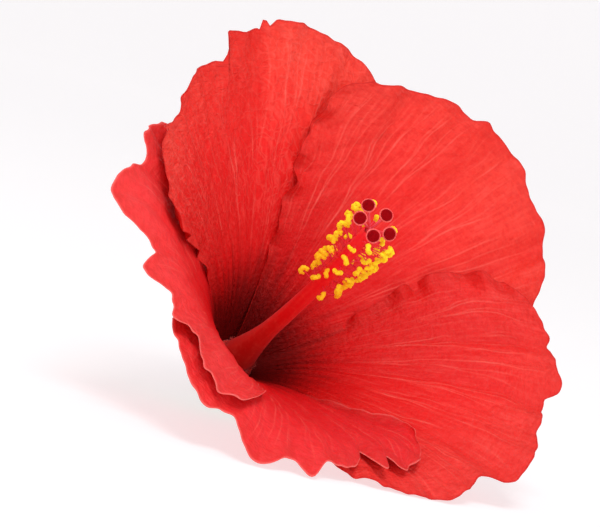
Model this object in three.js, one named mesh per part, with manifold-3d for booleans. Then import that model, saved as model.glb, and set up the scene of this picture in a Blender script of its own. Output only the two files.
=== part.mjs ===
// A red hibiscus flower, picked and laid down. It rests on the rims of its two lowest petals and on
// the cut end of its stalk.
//
// Millimetres, +Z up. The origin is the middle of the flower's footprint, on the surface it lies on.
// The flower itself is drawn in its own upright frame: the axis is +Z, the petal claws start at z = 0,
// and azimuths are degrees round that axis, counter-clockwise seen from the mouth. One nested group
// then turns the whole flower over into the way it lies.

import * as THREE from "three";
import { mergeVertices } from "three/addons/utils/BufferGeometryUtils.js";
import Module from "manifold-3d";

const wasm = await Module();
wasm.setup();

// ---------------------------------------------------------------- driving dimensions (mm, degrees)

// How the flower lies: spun about its own axis, tipped over, headed, then set down by its throat.
const LIE = { spin: 133.7, tip: 48.5, heading: -59, throat: [-21.2, 15.8, 12.68] };

// The funnel that all petals follow. Slopes are degrees between the petal and the flower's axis.
const FUNNEL = {
  clawRadius: 6,
  throatSlope: 30,
  flareRun: 35,
  curlStart: 48,
  curlRun: 30,
  curlPower: 1.3,
  steps: 24,
  flare: [[-30, 58], [20, 60], [66, 58], [105, 51], [140, 45], [165, 46], [195, 46], [218, 47], [250, 51],
    [285, 56]],
  curl: [[-6, 0], [66, 0], [100, 10], [130, 62], [180, 84], [215, 78], [245, 40], [282, 5]],
};

// Neighbouring petals lie in layers: one petal climbs from its outer edge to its inner edge.
const LAYERS = { atClaw: 1.0, atRim: 2.6, per: 60 };

// A ruffle shared by all petals, so that where two overlap they ripple together.
const RUFFLE = { start: 42, run: 32, waves: [[0.6, 17, 40], [0.3, 26, 160]] };

const PETAL = { thickness: 0.65, columns: 28, rows: 13 };

// Each petal: its azimuth, the half widths of its clockwise and counter-clockwise sides in degrees
// along its length (0 = claw, 1 = rim), and its reach in mm across its width (-1 to 1).
const PETALS = {
  petal_a: {
    azimuth: 68,
    clockwise: [[0, 45], [0.4, 56], [0.8, 58], [1, 55]],
    counter: [[0, 42], [0.4, 44], [0.65, 46], [0.85, 53], [1, 60]],
    reach: [[-1, 60], [-0.9, 68], [-0.76, 74], [-0.62, 78], [-0.4, 80], [-0.18, 79], [-0.05, 78],
      [0, 76], [0.04, 71], [0.2, 70], [0.4, 65], [0.7, 64], [0.78, 60], [0.9, 58], [1, 52]],
  },
  petal_b: {
    azimuth: -12,
    clockwise: [[0, 45], [0.4, 56], [0.8, 56], [1, 50]],
    counter: [[0, 52], [0.2, 56], [0.45, 56], [0.7, 52], [0.87, 49], [1, 47]],
    reach: [[-1, 55], [-0.8, 66], [-0.54, 72], [-0.42, 76], [-0.26, 80], [-0.04, 83], [0.14, 86],
      [0.28, 86], [0.4, 83], [0.55, 80], [0.8, 74], [0.94, 68], [1, 62]],
  },
  petal_c: {
    azimuth: 280,
    clockwise: [[0, 45], [0.4, 56], [0.8, 60], [1, 60]],
    counter: [[0, 40], [0.25, 44], [0.4, 50], [0.6, 56], [0.8, 56], [1, 48]],
    reach: [[-1, 61], [-0.9, 64], [-0.72, 66], [-0.54, 71], [-0.3, 71], [-0.15, 76], [0, 76],
      [0.08, 74], [0.25, 74], [0.33, 78], [0.52, 75], [0.7, 73], [0.85, 70], [1, 66]],
  },
  petal_d: {
    azimuth: 213,
    clockwise: [[0, 45], [0.4, 54], [0.8, 56], [1, 53]],
    counter: [[0, 45], [0.4, 50], [0.7, 55], [0.85, 55], [1, 45]],
    reach: [[-1, 62], [-0.9, 66], [-0.75, 69], [-0.58, 72], [-0.5, 69], [-0.38, 70], [-0.28, 74],
      [-0.13, 69], [0, 70], [0.1, 65], [0.2, 66], [0.38, 60], [0.47, 63], [0.55, 60], [0.66, 63],
      [0.8, 60], [1, 53]],
  },
  petal_e: {
    azimuth: 144,
    clockwise: [[0, 45], [0.4, 54], [0.8, 54], [1, 50]],
    counter: [[0, 42], [0.4, 50], [0.8, 52], [1, 49]],
    reach: [[-1, 58], [-0.88, 65], [-0.7, 70], [-0.53, 67], [-0.38, 73], [-0.27, 75], [-0.2, 72],
      [-0.05, 65], [0.1, 68], [0.2, 64], [0.33, 65], [0.42, 61], [0.57, 64], [0.8, 66], [0.9, 64],
      [1, 56]],
  },
};

// The staminal column: outer radius and bore along its height, the heights of the rings it is built
// from, and its sideways bend at a height.
const COLUMN = {
  outer: [[-0.6, 4.4], [3, 4.1], [8, 3.2], [14, 2.4], [24, 2.0], [38, 1.9], [52, 1.8], [60, 1.5], [62, 1.3]],
  bore: [[-0.6, 3.0], [3, 3.0], [7, 1.9], [11, 1.05], [14, 1.0], [20, 1.0], [62, 1.0]],
  outerRings: [-0.6, 3, 8, 14, 24, 34, 44, 52, 60, 62],
  boreRings: [62, 52, 44, 34, 24, 11, 7, 3, -0.6],
  sides: 14,
  bend: 3.1,
  bendHeight: 66,
  bendPower: 3.3,
};

// The free stamens: their share of the column's height, the turn from one to the next, how far they
// crowd to the column's two sides, how deep their roots sit, their lengths and leans towards the
// mouth, and how much each place wanders.
const STAMENS = {
  count: 64,
  from: 38,
  to: 60.5,
  heightPower: 0.8,
  turn: 137.5,
  crowd: 23,
  wander: 24,
  heightWander: 1,
  root: 1.2,
  shortest: 2.4,
  longest: 4.0,
  longerByHeight: 3.2,
  leanLow: 12,
  leanHigh: 44,
  leanByHeight: 0.6,
  filamentRadius: 0.28,
  filamentSides: 4,
  anther: [1.15, 0.8, 0.75],
  antherSegments: [6, 3],
  seed: 20617,
};

// The pistil: ovary and style profile as [height, radius], then five branches, each with a round
// pad. The pads tilt outwards a little, and all nod to one side.
const PISTIL = {
  profile: [[-0.5, 1.6], [0.8, 2.4], [3, 2.6], [5, 1.9], [8, 0.9], [11, 0.62], [24, 0.62], [34, 0.62],
    [44, 0.62], [52, 0.62], [62.2, 0.62], [63, 0.7]],
  sides: 12,
  branches: 5,
  branchPath: [[0.1, 62.2], [0.8, 63.1], [2.4, 64.1], [4.0, 65.2]],
  branchSteps: 6,
  branchSides: 6,
  firstAzimuth: 65,
  branchRadius: 0.42,
  padCircle: 4.3,
  padHeight: 65.5,
  padRadius: 1.5,
  padDepth: 1.3,
  padTilt: 18,
  padNod: [180, 0.75],
  padSegments: [10, 6],
};

// The calyx: a thick floor that carries everything, and a thin wall that follows the petals at a
// clearance and ends in lobes. Notch and tip are how far up the funnel its edge reaches.
const CALYX = {
  floorTop: -0.9,
  floorBottom: -4.2,
  floorRadius: 4.6,
  insideRadius: 7.6,
  poleRadius: 2.5,
  clearance: 1.9,
  wall: 0.9,
  lobes: 5,
  firstLobe: 32,
  notch: 8,
  tip: 19,
  edgePower: 1.2,
  sides: 40,
  rows: 6,
};

// The epicalyx: a collar round the top of the stalk, and narrow bractlets that rise from it. Their
// slope from the axis falls by the bend over their length.
const EPICALYX = {
  bractlets: 7,
  firstBractlet: 10,
  collarTop: -4.5,
  collarBottom: -7.0,
  collarRadius: 4.4,
  bore: 2.3,
  length: 10.5,
  width: 2.6,
  thickness: 0.9,
  slope: 66,
  bend: 10,
  rootRadius: 3.2,
  rootHeight: -5.7,
  rootWidth: 0.75,
  tipTaper: 0.02,
  collarSides: 20,
  columns: 2,
  rows: 6,
};

// The stalk leaves the calyx along the flower's axis and bends over until it lies on the surface.
// Its reach is how far its cut end lies from the calyx along X and Y. The two pulls say how far it
// runs on along the flower's axis at its top, and along the surface at its end.
const STALK = {
  top: -4.5,
  radii: [[0, 1.9], [0.12, 1.7], [0.3, 1.5], [0.42, 1.9], [0.5, 2.0], [0.58, 1.6], [0.75, 1.45], [1, 1.4]],
  reach: [-3, 37],
  topPull: 13,
  endPull: [-1, 16],
  steps: 18,
  sides: 10,
};

const COLOURS = {
  petal: 0xe0342f,
  column: 0xc9202a,
  pistil: 0x9c1024,
  calyx: 0x5d7a2c,
  bractlet: 0x4f7027,
  stalk: 0x6c8436,
};

const DEG = Math.PI / 180;

// The step over which a blade's normals are measured, and the distance at which points are merged.
const NORMAL_STEP = 1e-3;
const MERGE_WITHIN = 1e-4;

// ---------------------------------------------------------------- curves and small helpers

const smooth = (x) => {
  const u = THREE.MathUtils.clamp(x, 0, 1);
  return u * u * (3 - 2 * u);
};

// A smooth curve through [x, y] knots: Hermite pieces whose slopes average their neighbours'.
function through(knots, x) {
  const last = knots.length - 1;
  const at = THREE.MathUtils.clamp(x, knots[0][0], knots[last][0]);
  let i = 0;
  while (i < last - 1 && at >= knots[i + 1][0]) {
    i += 1;
  }
  const rise = (k) => (knots[k + 1][1] - knots[k][1]) / (knots[k + 1][0] - knots[k][0]);
  const slopeAt = (k) => {
    if (k === 0) {
      return rise(0);
    }
    if (k === last) {
      return rise(last - 1);
    }
    const before = knots[k][0] - knots[k - 1][0];
    const after = knots[k + 1][0] - knots[k][0];
    return (rise(k - 1) * after + rise(k) * before) / (before + after);
  };
  const span = knots[i + 1][0] - knots[i][0];
  const u = (at - knots[i][0]) / span;
  const u2 = u * u;
  const u3 = u2 * u;
  return (2 * u3 - 3 * u2 + 1) * knots[i][1] + (u3 - 2 * u2 + u) * span * slopeAt(i)
    + (3 * u2 - 2 * u3) * knots[i + 1][1] + (u3 - u2) * span * slopeAt(i + 1);
}

// The same curve, closed round the axis.
function around(stations, azimuth) {
  const first = stations[0][0];
  const turned = THREE.MathUtils.euclideanModulo(azimuth - first, 360) + first;
  const copies = [-360, 0, 360].flatMap((turn) => stations.map(([at, value]) => [at + turn, value]));
  return through(copies, turned);
}

// The same seeded draw every time: numbers from 0 to 1.
function seededDraw(seed) {
  let state = seed;
  return () => {
    state = (state * 16807) % 2147483647;
    return state / 2147483647;
  };
}

const radial = (azimuth, radius, z) =>
  new THREE.Vector3(radius * Math.cos(azimuth * DEG), radius * Math.sin(azimuth * DEG), z);

// ---------------------------------------------------------------- closed solids

// A closed BufferGeometry from points and triangles.
function mesh(points, triangles) {
  const geometry = new THREE.BufferGeometry();
  const flat = points.flatMap((p) => [p.x, p.y, p.z]);
  geometry.setAttribute("position", new THREE.Float32BufferAttribute(flat, 3));
  geometry.setIndex(triangles);
  return geometry;
}

// A thin blade: a grid of points given by at(u, v), thickened by half each way along its normal. Both
// faces and the edge are split into triangles alike.
function blade(at, columns, rows, thickness) {
  const points = [];
  for (const side of [1, -1]) {
    for (let j = 0; j <= rows; j += 1) {
      for (let i = 0; i <= columns; i += 1) {
        const u = i / columns;
        const v = j / rows;
        const along = at(Math.min(u + NORMAL_STEP, 1), v).sub(at(Math.max(u - NORMAL_STEP, 0), v));
        const out = at(u, Math.min(v + NORMAL_STEP, 1)).sub(at(u, Math.max(v - NORMAL_STEP, 0)));
        const normal = along.cross(out).normalize();
        points.push(at(u, v).addScaledVector(normal, (side * thickness) / 2));
      }
    }
  }
  const index = (side, i, j) => side * (columns + 1) * (rows + 1) + j * (columns + 1) + i;
  const triangles = [];
  for (let j = 0; j < rows; j += 1) {
    for (let i = 0; i < columns; i += 1) {
      for (const side of [0, 1]) {
        const a = index(side, i, j);
        const b = index(side, i + 1, j);
        const c = index(side, i + 1, j + 1);
        const d = index(side, i, j + 1);
        triangles.push(...(side === 0 ? [a, b, c, a, c, d] : [a, c, b, a, d, c]));
      }
    }
  }
  const edge = [];
  for (let i = 0; i < columns; i += 1) {
    edge.push([i, 0]);
  }
  for (let j = 0; j < rows; j += 1) {
    edge.push([columns, j]);
  }
  for (let i = columns; i > 0; i -= 1) {
    edge.push([i, rows]);
  }
  for (let j = rows; j > 0; j -= 1) {
    edge.push([0, j]);
  }
  edge.forEach(([i, j], k) => {
    const [p, q] = edge[(k + 1) % edge.length];
    const a = index(0, i, j);
    const b = index(0, p, q);
    const c = index(1, p, q);
    const d = index(1, i, j);
    triangles.push(a, d, c, a, c, b);
  });
  return mesh(points, triangles);
}

// A closed skin over rings of points. The first and last ring are capped, or joined to each other.
function skin(rings, joined) {
  const count = rings[0].length;
  const points = rings.flat();
  const triangles = [];
  const strips = joined ? rings.length : rings.length - 1;
  for (let k = 0; k < strips; k += 1) {
    const low = k * count;
    const high = ((k + 1) % rings.length) * count;
    for (let i = 0; i < count; i += 1) {
      const next = (i + 1) % count;
      triangles.push(low + i, low + next, high + next, low + i, high + next, high + i);
    }
  }
  if (!joined) {
    const top = (rings.length - 1) * count;
    const middle = (ring) => ring.reduce((sum, p) => sum.add(p), new THREE.Vector3()).divideScalar(count);
    points.push(middle(rings[0]), middle(rings[rings.length - 1]));
    for (let i = 0; i < count; i += 1) {
      const next = (i + 1) % count;
      triangles.push(rings.length * count, next, i);
      triangles.push(rings.length * count + 1, top + i, top + next);
    }
  }
  return mesh(points, triangles);
}

// A round rod along a curve, as a skin of rings whose radius follows the knots.
function rod(curve, radiusAt, steps, sides) {
  const frames = curve.computeFrenetFrames(steps, false);
  const rings = [];
  for (let k = 0; k <= steps; k += 1) {
    const centre = curve.getPointAt(k / steps);
    const ring = [];
    for (let i = 0; i < sides; i += 1) {
      const turn = (2 * Math.PI * i) / sides;
      const radius = radiusAt(k / steps);
      ring.push(centre.clone()
        .addScaledVector(frames.normals[k], radius * Math.cos(turn))
        .addScaledVector(frames.binormals[k], radius * Math.sin(turn)));
    }
    rings.push(ring);
  }
  return skin(rings, false);
}

function toSolid(geometry) {
  const bare = geometry.clone();
  bare.deleteAttribute("normal");
  bare.deleteAttribute("uv");
  const merged = mergeVertices(bare, MERGE_WITHIN);
  return new wasm.Manifold(new wasm.Mesh({
    numProp: 3,
    vertProperties: new Float32Array(merged.attributes.position.array),
    triVerts: new Uint32Array(merged.index.array),
  }));
}

function fromSolid(solid) {
  const { vertProperties, triVerts } = solid.getMesh();
  const geometry = new THREE.BufferGeometry();
  geometry.setAttribute("position", new THREE.Float32BufferAttribute(vertProperties, 3));
  geometry.setIndex([...triVerts]);
  return geometry;
}

const fuse = (geometries) => fromSolid(geometries.map(toSolid).reduce((sum, part) => sum.add(part)));

function piece(name, geometry, colour, roughness = 0.55) {
  geometry.computeVertexNormals();
  const material = new THREE.MeshStandardMaterial({ color: colour, roughness, metalness: 0 });
  const made = new THREE.Mesh(geometry, material);
  made.name = name;
  return made;
}

// ---------------------------------------------------------------- the funnel of the corolla

function slopeAt(azimuth, run) {
  const flare = around(FUNNEL.flare, azimuth);
  const curl = around(FUNNEL.curl, azimuth);
  const past = Math.max(0, (run - FUNNEL.curlStart) / FUNNEL.curlRun);
  return FUNNEL.throatSlope + (flare - FUNNEL.throatSlope) * smooth(run / FUNNEL.flareRun)
    + curl * past ** FUNNEL.curlPower;
}

// A point `run` mm up the funnel from the claws, raised `lift` mm off it towards the flower's inside.
function onFunnel(azimuth, run, lift) {
  let radius = FUNNEL.clawRadius;
  let height = 0;
  for (let k = 0; k < FUNNEL.steps; k += 1) {
    const slope = slopeAt(azimuth, (run * (k + 0.5)) / FUNNEL.steps) * DEG;
    radius += (Math.sin(slope) * run) / FUNNEL.steps;
    height += (Math.cos(slope) * run) / FUNNEL.steps;
  }
  const slope = slopeAt(azimuth, run) * DEG;
  return radial(azimuth, radius - lift * Math.cos(slope), height + lift * Math.sin(slope));
}

function ruffle(azimuth, run) {
  const grow = smooth((run - RUFFLE.start) / RUFFLE.run);
  const wave = ([size, count, phase]) => size * Math.sin((count * azimuth + phase) * DEG);
  return grow * RUFFLE.waves.reduce((sum, each) => sum + wave(each), 0);
}

function petalGeometry(petal) {
  const at = (u, v) => {
    const across = 2 * u - 1;
    const half = across < 0 ? through(petal.clockwise, v) : through(petal.counter, v);
    const offset = across * half;
    const run = v * through(petal.reach, across);
    const layer = LAYERS.atClaw + (LAYERS.atRim - LAYERS.atClaw) * smooth(v);
    const azimuth = petal.azimuth + offset;
    return onFunnel(azimuth, run, (layer * offset) / LAYERS.per + ruffle(azimuth, run));
  };
  return blade(at, PETAL.columns, PETAL.rows, PETAL.thickness);
}

// ---------------------------------------------------------------- column and pistil

const sideways = (z) => COLUMN.bend * (Math.max(0, z) / COLUMN.bendHeight) ** COLUMN.bendPower;

function bentRing(z, radius, sides) {
  return Array.from({ length: sides }, (_, i) => {
    const point = radial((360 * i) / sides, radius, z);
    point.y += sideways(z);
    return point;
  });
}

function columnTube() {
  const outside = COLUMN.outerRings.map((z) => bentRing(z, through(COLUMN.outer, z), COLUMN.sides));
  const inside = COLUMN.boreRings.map((z) => bentRing(z, through(COLUMN.bore, z), COLUMN.sides));
  return skin([...outside, ...inside], true);
}

// One stamen: a filament that leaves the column and leans towards the mouth, and its anther.
function stamen(azimuth, z, length, lean) {
  const direction = radial(azimuth, Math.cos(lean * DEG), Math.sin(lean * DEG));
  const root = radial(azimuth, STAMENS.root, z);
  root.y += sideways(z);
  const turn = new THREE.Quaternion().setFromUnitVectors(new THREE.Vector3(0, 1, 0), direction);
  const radius = STAMENS.filamentRadius;
  const filament = new THREE.CylinderGeometry(radius, radius, length, STAMENS.filamentSides);
  filament.translate(0, length / 2, 0).applyQuaternion(turn).translate(root.x, root.y, root.z);
  const anther = new THREE.SphereGeometry(1, ...STAMENS.antherSegments);
  anther.scale(STAMENS.anther[0], STAMENS.anther[1], STAMENS.anther[2]).translate(0, length, 0);
  anther.applyQuaternion(turn).translate(root.x, root.y, root.z);
  return [filament, anther];
}

function columnGeometry() {
  const draw = seededDraw(STAMENS.seed);
  const stamens = [];
  for (let i = 0; i < STAMENS.count; i += 1) {
    const up = (i + 0.5) / STAMENS.count;
    const risen = STAMENS.from + (STAMENS.to - STAMENS.from) * up ** STAMENS.heightPower;
    const z = risen + (draw() - 0.5) * STAMENS.heightWander;
    const even = i * STAMENS.turn + (draw() - 0.5) * STAMENS.wander;
    const azimuth = even + STAMENS.crowd * Math.sin(2 * even * DEG);
    const least = STAMENS.shortest + STAMENS.longerByHeight * up;
    const length = least + (STAMENS.longest - STAMENS.shortest) * draw();
    const steep = STAMENS.leanByHeight * up + (1 - STAMENS.leanByHeight) * draw();
    const lean = STAMENS.leanLow + (STAMENS.leanHigh - STAMENS.leanLow) * steep;
    stamens.push(...stamen(azimuth, z, length, lean));
  }
  return fuse([columnTube(), ...stamens]);
}

function pistilGeometry() {
  const rings = PISTIL.profile.map(([z, radius]) => bentRing(z, radius, PISTIL.sides));
  const parts = [skin(rings, false)];
  for (let i = 0; i < PISTIL.branches; i += 1) {
    const azimuth = PISTIL.firstAzimuth + (360 * i) / PISTIL.branches;
    const place = (radius, z) => {
      const point = radial(azimuth, radius, z);
      point.y += sideways(z);
      return point;
    };
    const curve = new THREE.CatmullRomCurve3(PISTIL.branchPath.map(([radius, z]) => place(radius, z)));
    parts.push(rod(curve, () => PISTIL.branchRadius, PISTIL.branchSteps, PISTIL.branchSides));
    const pad = new THREE.SphereGeometry(1, ...PISTIL.padSegments);
    pad.scale(PISTIL.padRadius, PISTIL.padDepth / 2, PISTIL.padRadius).rotateX(90 * DEG);
    const tilt = PISTIL.padTilt * DEG;
    const facing = radial(azimuth, Math.sin(tilt), Math.cos(tilt)).add(radial(...PISTIL.padNod, 0));
    const up = new THREE.Vector3(0, 0, 1);
    pad.applyQuaternion(new THREE.Quaternion().setFromUnitVectors(up, facing.normalize()));
    const seat = place(PISTIL.padCircle, PISTIL.padHeight);
    parts.push(pad.translate(seat.x, seat.y, seat.z));
  }
  return fuse(parts);
}

// ---------------------------------------------------------------- calyx, bractlets and stalk

// The calyx is a closed cup: outer skin from its foot up to the lobed edge, then back down inside.
function calyxGeometry() {
  const edgeAt = (azimuth) => {
    const lobe = ((azimuth - CALYX.firstLobe) * CALYX.lobes) / 360;
    const fromNotch = Math.abs(2 * THREE.MathUtils.euclideanModulo(lobe, 1) - 1);
    return CALYX.notch + (CALYX.tip - CALYX.notch) * fromNotch ** CALYX.edgePower;
  };
  const ringAt = (share, lift) => Array.from({ length: CALYX.sides }, (_, i) => {
    const azimuth = (360 * i) / CALYX.sides;
    return onFunnel(azimuth, share * edgeAt(azimuth), -lift);
  });
  const flatRing = (radius, z) =>
    Array.from({ length: CALYX.sides }, (_, i) => radial((360 * i) / CALYX.sides, radius, z));
  const outer = CALYX.clearance + CALYX.wall;
  const rings = [
    flatRing(CALYX.poleRadius, CALYX.floorBottom),
    flatRing(CALYX.floorRadius, CALYX.floorBottom),
  ];
  for (let k = 0; k <= CALYX.rows; k += 1) {
    rings.push(ringAt(k / CALYX.rows, outer));
  }
  for (let k = CALYX.rows; k >= 1; k -= 1) {
    rings.push(ringAt(k / CALYX.rows, CALYX.clearance));
  }
  rings.push(flatRing(CALYX.insideRadius, CALYX.floorTop), flatRing(CALYX.poleRadius, CALYX.floorTop));
  return skin(rings, false);
}

function bractletGeometry(azimuth) {
  const axis = new THREE.Vector3(0, 0, 1);
  const at = (u, v) => {
    const run = EPICALYX.length * v;
    const slope = (EPICALYX.slope - EPICALYX.bend * v) * DEG;
    const taper = Math.sqrt(Math.max(EPICALYX.tipTaper, 1 - v * v));
    const half = (EPICALYX.width / 2) * taper * (EPICALYX.rootWidth + v * (1 - v) / 2);
    const radius = EPICALYX.rootRadius + run * Math.sin(slope);
    const z = EPICALYX.rootHeight + run * Math.cos(slope);
    return new THREE.Vector3(radius, (2 * u - 1) * half, z).applyAxisAngle(axis, azimuth * DEG);
  };
  return blade(at, EPICALYX.columns, EPICALYX.rows, EPICALYX.thickness);
}

function epicalyxGeometry() {
  const sides = EPICALYX.collarSides;
  const ring = (radius, z) => Array.from({ length: sides }, (_, i) => radial((360 * i) / sides, radius, z));
  const collar = skin([
    ring(EPICALYX.bore, EPICALYX.collarBottom),
    ring(EPICALYX.rootRadius, EPICALYX.collarBottom),
    ring(EPICALYX.collarRadius, EPICALYX.collarTop),
    ring(EPICALYX.bore, EPICALYX.collarTop),
  ], true);
  const parts = [collar];
  for (let i = 0; i < EPICALYX.bractlets; i += 1) {
    parts.push(bractletGeometry(EPICALYX.firstBractlet + (360 * i) / EPICALYX.bractlets));
  }
  return fuse(parts);
}

// The stalk is drawn where it lies, from the underside of the calyx to its end on the surface.
function stalkGeometry(pose) {
  const foot = new THREE.Vector3(0, 0, STALK.top).applyMatrix4(pose);
  const along = new THREE.Vector3(0, 0, STALK.top - STALK.topPull).applyMatrix4(pose);
  const [x, y] = STALK.reach;
  const [pullX, pullY] = STALK.endPull;
  const endRadius = through(STALK.radii, 1);
  const end = new THREE.Vector3(foot.x + x, foot.y + y, endRadius);
  const lying = new THREE.Vector3(end.x - pullX, end.y - pullY, endRadius);
  const curve = new THREE.CubicBezierCurve3(foot, along, lying, end);
  return rod(curve, (share) => through(STALK.radii, share), STALK.steps, STALK.sides);
}

// ---------------------------------------------------------------- the whole flower

const flower = new THREE.Group();
for (const [name, petal] of Object.entries(PETALS)) {
  flower.add(piece(name, petalGeometry(petal), COLOURS.petal));
}
flower.add(piece("staminal_column", columnGeometry(), COLOURS.column));
flower.add(piece("pistil", pistilGeometry(), COLOURS.pistil, 0.8));
flower.add(piece("calyx", calyxGeometry(), COLOURS.calyx));
flower.add(piece("epicalyx", epicalyxGeometry(), COLOURS.bractlet));
flower.rotation.z = LIE.spin * DEG;

// Lay the flower down: tipped over, headed, and its throat set in its place.
const tipped = new THREE.Group();
tipped.add(flower);
tipped.position.set(...LIE.throat);
tipped.rotation.set(0, LIE.tip * DEG, LIE.heading * DEG, "ZYX");
tipped.updateMatrixWorld(true);

const laid = new THREE.Group();
laid.add(tipped);
laid.add(piece("stalk", stalkGeometry(tipped.matrixWorld), COLOURS.stalk));
export default laid;
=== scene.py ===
"""A picked red hibiscus flower, dressed for a soft studio picture.

The flower is drawn in a frame of its own, in millimetres: its axis is +Z, the petal claws start at
z = 0, and azimuths are degrees round the axis, counter-clockwise seen from the mouth. Lie turns that
frame over into the way the flower lies, in the metres of the picture.
"""

from __future__ import annotations

import logging
import math
from dataclasses import dataclass, field
from enum import Enum
from typing import Callable, Sequence, Union

import bpy
import numpy as np
from mathutils import Matrix

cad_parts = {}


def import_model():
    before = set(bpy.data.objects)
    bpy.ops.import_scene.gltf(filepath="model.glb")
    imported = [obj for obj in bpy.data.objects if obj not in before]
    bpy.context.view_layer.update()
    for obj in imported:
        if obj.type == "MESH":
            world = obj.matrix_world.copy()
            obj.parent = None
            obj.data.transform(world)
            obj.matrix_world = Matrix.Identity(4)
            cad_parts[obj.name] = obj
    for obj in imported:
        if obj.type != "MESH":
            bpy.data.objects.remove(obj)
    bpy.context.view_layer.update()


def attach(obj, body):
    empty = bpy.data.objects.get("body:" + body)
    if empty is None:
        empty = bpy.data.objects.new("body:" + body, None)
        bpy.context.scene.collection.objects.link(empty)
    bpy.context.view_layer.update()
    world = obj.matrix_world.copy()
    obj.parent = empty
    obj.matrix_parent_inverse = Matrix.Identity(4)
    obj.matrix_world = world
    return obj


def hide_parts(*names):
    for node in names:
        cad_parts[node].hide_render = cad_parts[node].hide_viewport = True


log = logging.getLogger("hibiscus")

Span = tuple[float, float]
Triple = tuple[float, float, float]
Colour = Triple
Knots = Sequence[tuple[float, float]]

MM = 0.001
TINY = 1e-12
KNEE, SLOPE, LIFT, GAMMA = 0.04045, 12.92, 0.055, 2.4
"""The numbers of the curve between a colour as the eye reads it and its light."""


def paint(red: int, green: int, blue: int) -> Colour:
    """A colour as the eye reads it, 0 to 255, turned into the light that a shader works in."""
    levels = np.array([red, green, blue]) / 255
    light = np.where(levels <= KNEE, levels / SLOPE, ((levels + LIFT) / (1 + LIFT)) ** GAMMA)
    return tuple(float(x) for x in light)


# ------------------------------------------------------------------------- curves


def ease(x: np.ndarray, start: float, run: float) -> np.ndarray:
    """Rises smoothly from 0 at start to 1 a run further on, or back where the run is below 0."""
    u = np.clip((x - start) / run, 0.0, 1.0)
    return u * u * (3 - 2 * u)


def through(knots: Knots, x: np.ndarray) -> np.ndarray:
    """A smooth curve through knots, whose slopes average their neighbours'.

    Args:
        knots: places and values, in order of place.
        x: where to read the curve. It is held at the first and last knot.

    Returns:
        The curve's values at x.
    """
    place, value = np.array(knots, float).T
    span = np.diff(place)
    rise = np.diff(value) / span
    inner = (rise[:-1] * span[1:] + rise[1:] * span[:-1]) / (span[:-1] + span[1:])
    slope = np.concatenate([rise[:1], inner, rise[-1:]])
    at = np.clip(x, place[0], place[-1])
    i = np.clip(np.searchsorted(place, at, side="right") - 1, 0, len(span) - 1)
    u = (at - place[i]) / span[i]
    u2, u3 = u * u, u * u * u
    return (
        (2 * u3 - 3 * u2 + 1) * value[i]
        + (u3 - 2 * u2 + u) * span[i] * slope[i]
        + (3 * u2 - 2 * u3) * value[i + 1]
        + (u3 - u2) * span[i] * slope[i + 1]
    )


def around(stations: Knots, azimuth: np.ndarray) -> np.ndarray:
    """A smooth curve through stations by azimuth, closed round the flower's axis."""
    first = stations[0][0]
    turned = np.mod(azimuth - first, 360) + first
    copies = [(at + turn, value) for turn in (-360, 0, 360) for at, value in stations]
    return through(copies, turned)


class Draw:
    """Seeded numbers from 0 to 1, the same each time."""

    MULTIPLIER = 16807
    MODULUS = 2**31 - 1

    def __init__(self, seed: int) -> None:
        """Starts the draws from a seed."""
        self.state = seed

    def __call__(self) -> float:
        """The next number."""
        self.state = (self.state * self.MULTIPLIER) % self.MODULUS
        return self.state / self.MODULUS

    def between(self, low: float, high: float) -> float:
        """The next number, from low to high."""
        return low + (high - low) * self()

    def aside(self) -> float:
        """The next number, from -0.5 to 0.5."""
        return self() - 0.5


Waves = tuple[Span, ...]
"""The size and the turns per unit of each wave of a sum."""


def waves(x: np.ndarray, each: Waves, draw: Draw) -> np.ndarray:
    """A sum of sine waves.

    Args:
        x: where to read them.
        each: the waves.
        draw: the draws that shift them.

    Returns:
        Their sum.
    """
    return sum(size * np.sin(2 * math.pi * (turns * x + draw())) for size, turns in each)


def radial(azimuth: np.ndarray, radius: np.ndarray, height: np.ndarray) -> np.ndarray:
    """Points round the flower's axis, as rows of x, y and z."""
    turn = np.radians(azimuth)
    return np.stack(
        np.broadcast_arrays(radius * np.cos(turn), radius * np.sin(turn), height), axis=-1
    ).astype(float)


@dataclass(frozen=True)
class Lie:
    """How the flower lies: spun about its axis, tipped over and headed, in degrees, with its
    throat, where the claws start, set down at a place in millimetres.
    """

    spin: float = 133.7
    tip: float = 48.5
    heading: float = -59.0
    throat: Triple = (-21.2, 15.8, 12.68)

    def turn(self) -> np.ndarray:
        """The rotation from the flower's frame to the world, as a 3 by 3 matrix."""
        spin = Matrix.Rotation(math.radians(self.spin), 3, "Z")
        tip = Matrix.Rotation(math.radians(self.tip), 3, "Y")
        heading = Matrix.Rotation(math.radians(self.heading), 3, "Z")
        return np.array(heading @ tip @ spin)

    def world(self, points: np.ndarray) -> np.ndarray:
        """Points of the flower's frame, in millimetres, where they lie in the world, in metres."""
        return (points @ self.turn().T + np.array(self.throat)) * MM


LIE = Lie()


# ------------------------------------------------------------------------- meshes


class Slot(Enum):
    """The record's finishes."""

    PETAL = "petal"
    COLUMN = "column"
    PISTIL = "pistil"
    CALYX = "calyx"
    STALK = "stalk"


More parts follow.
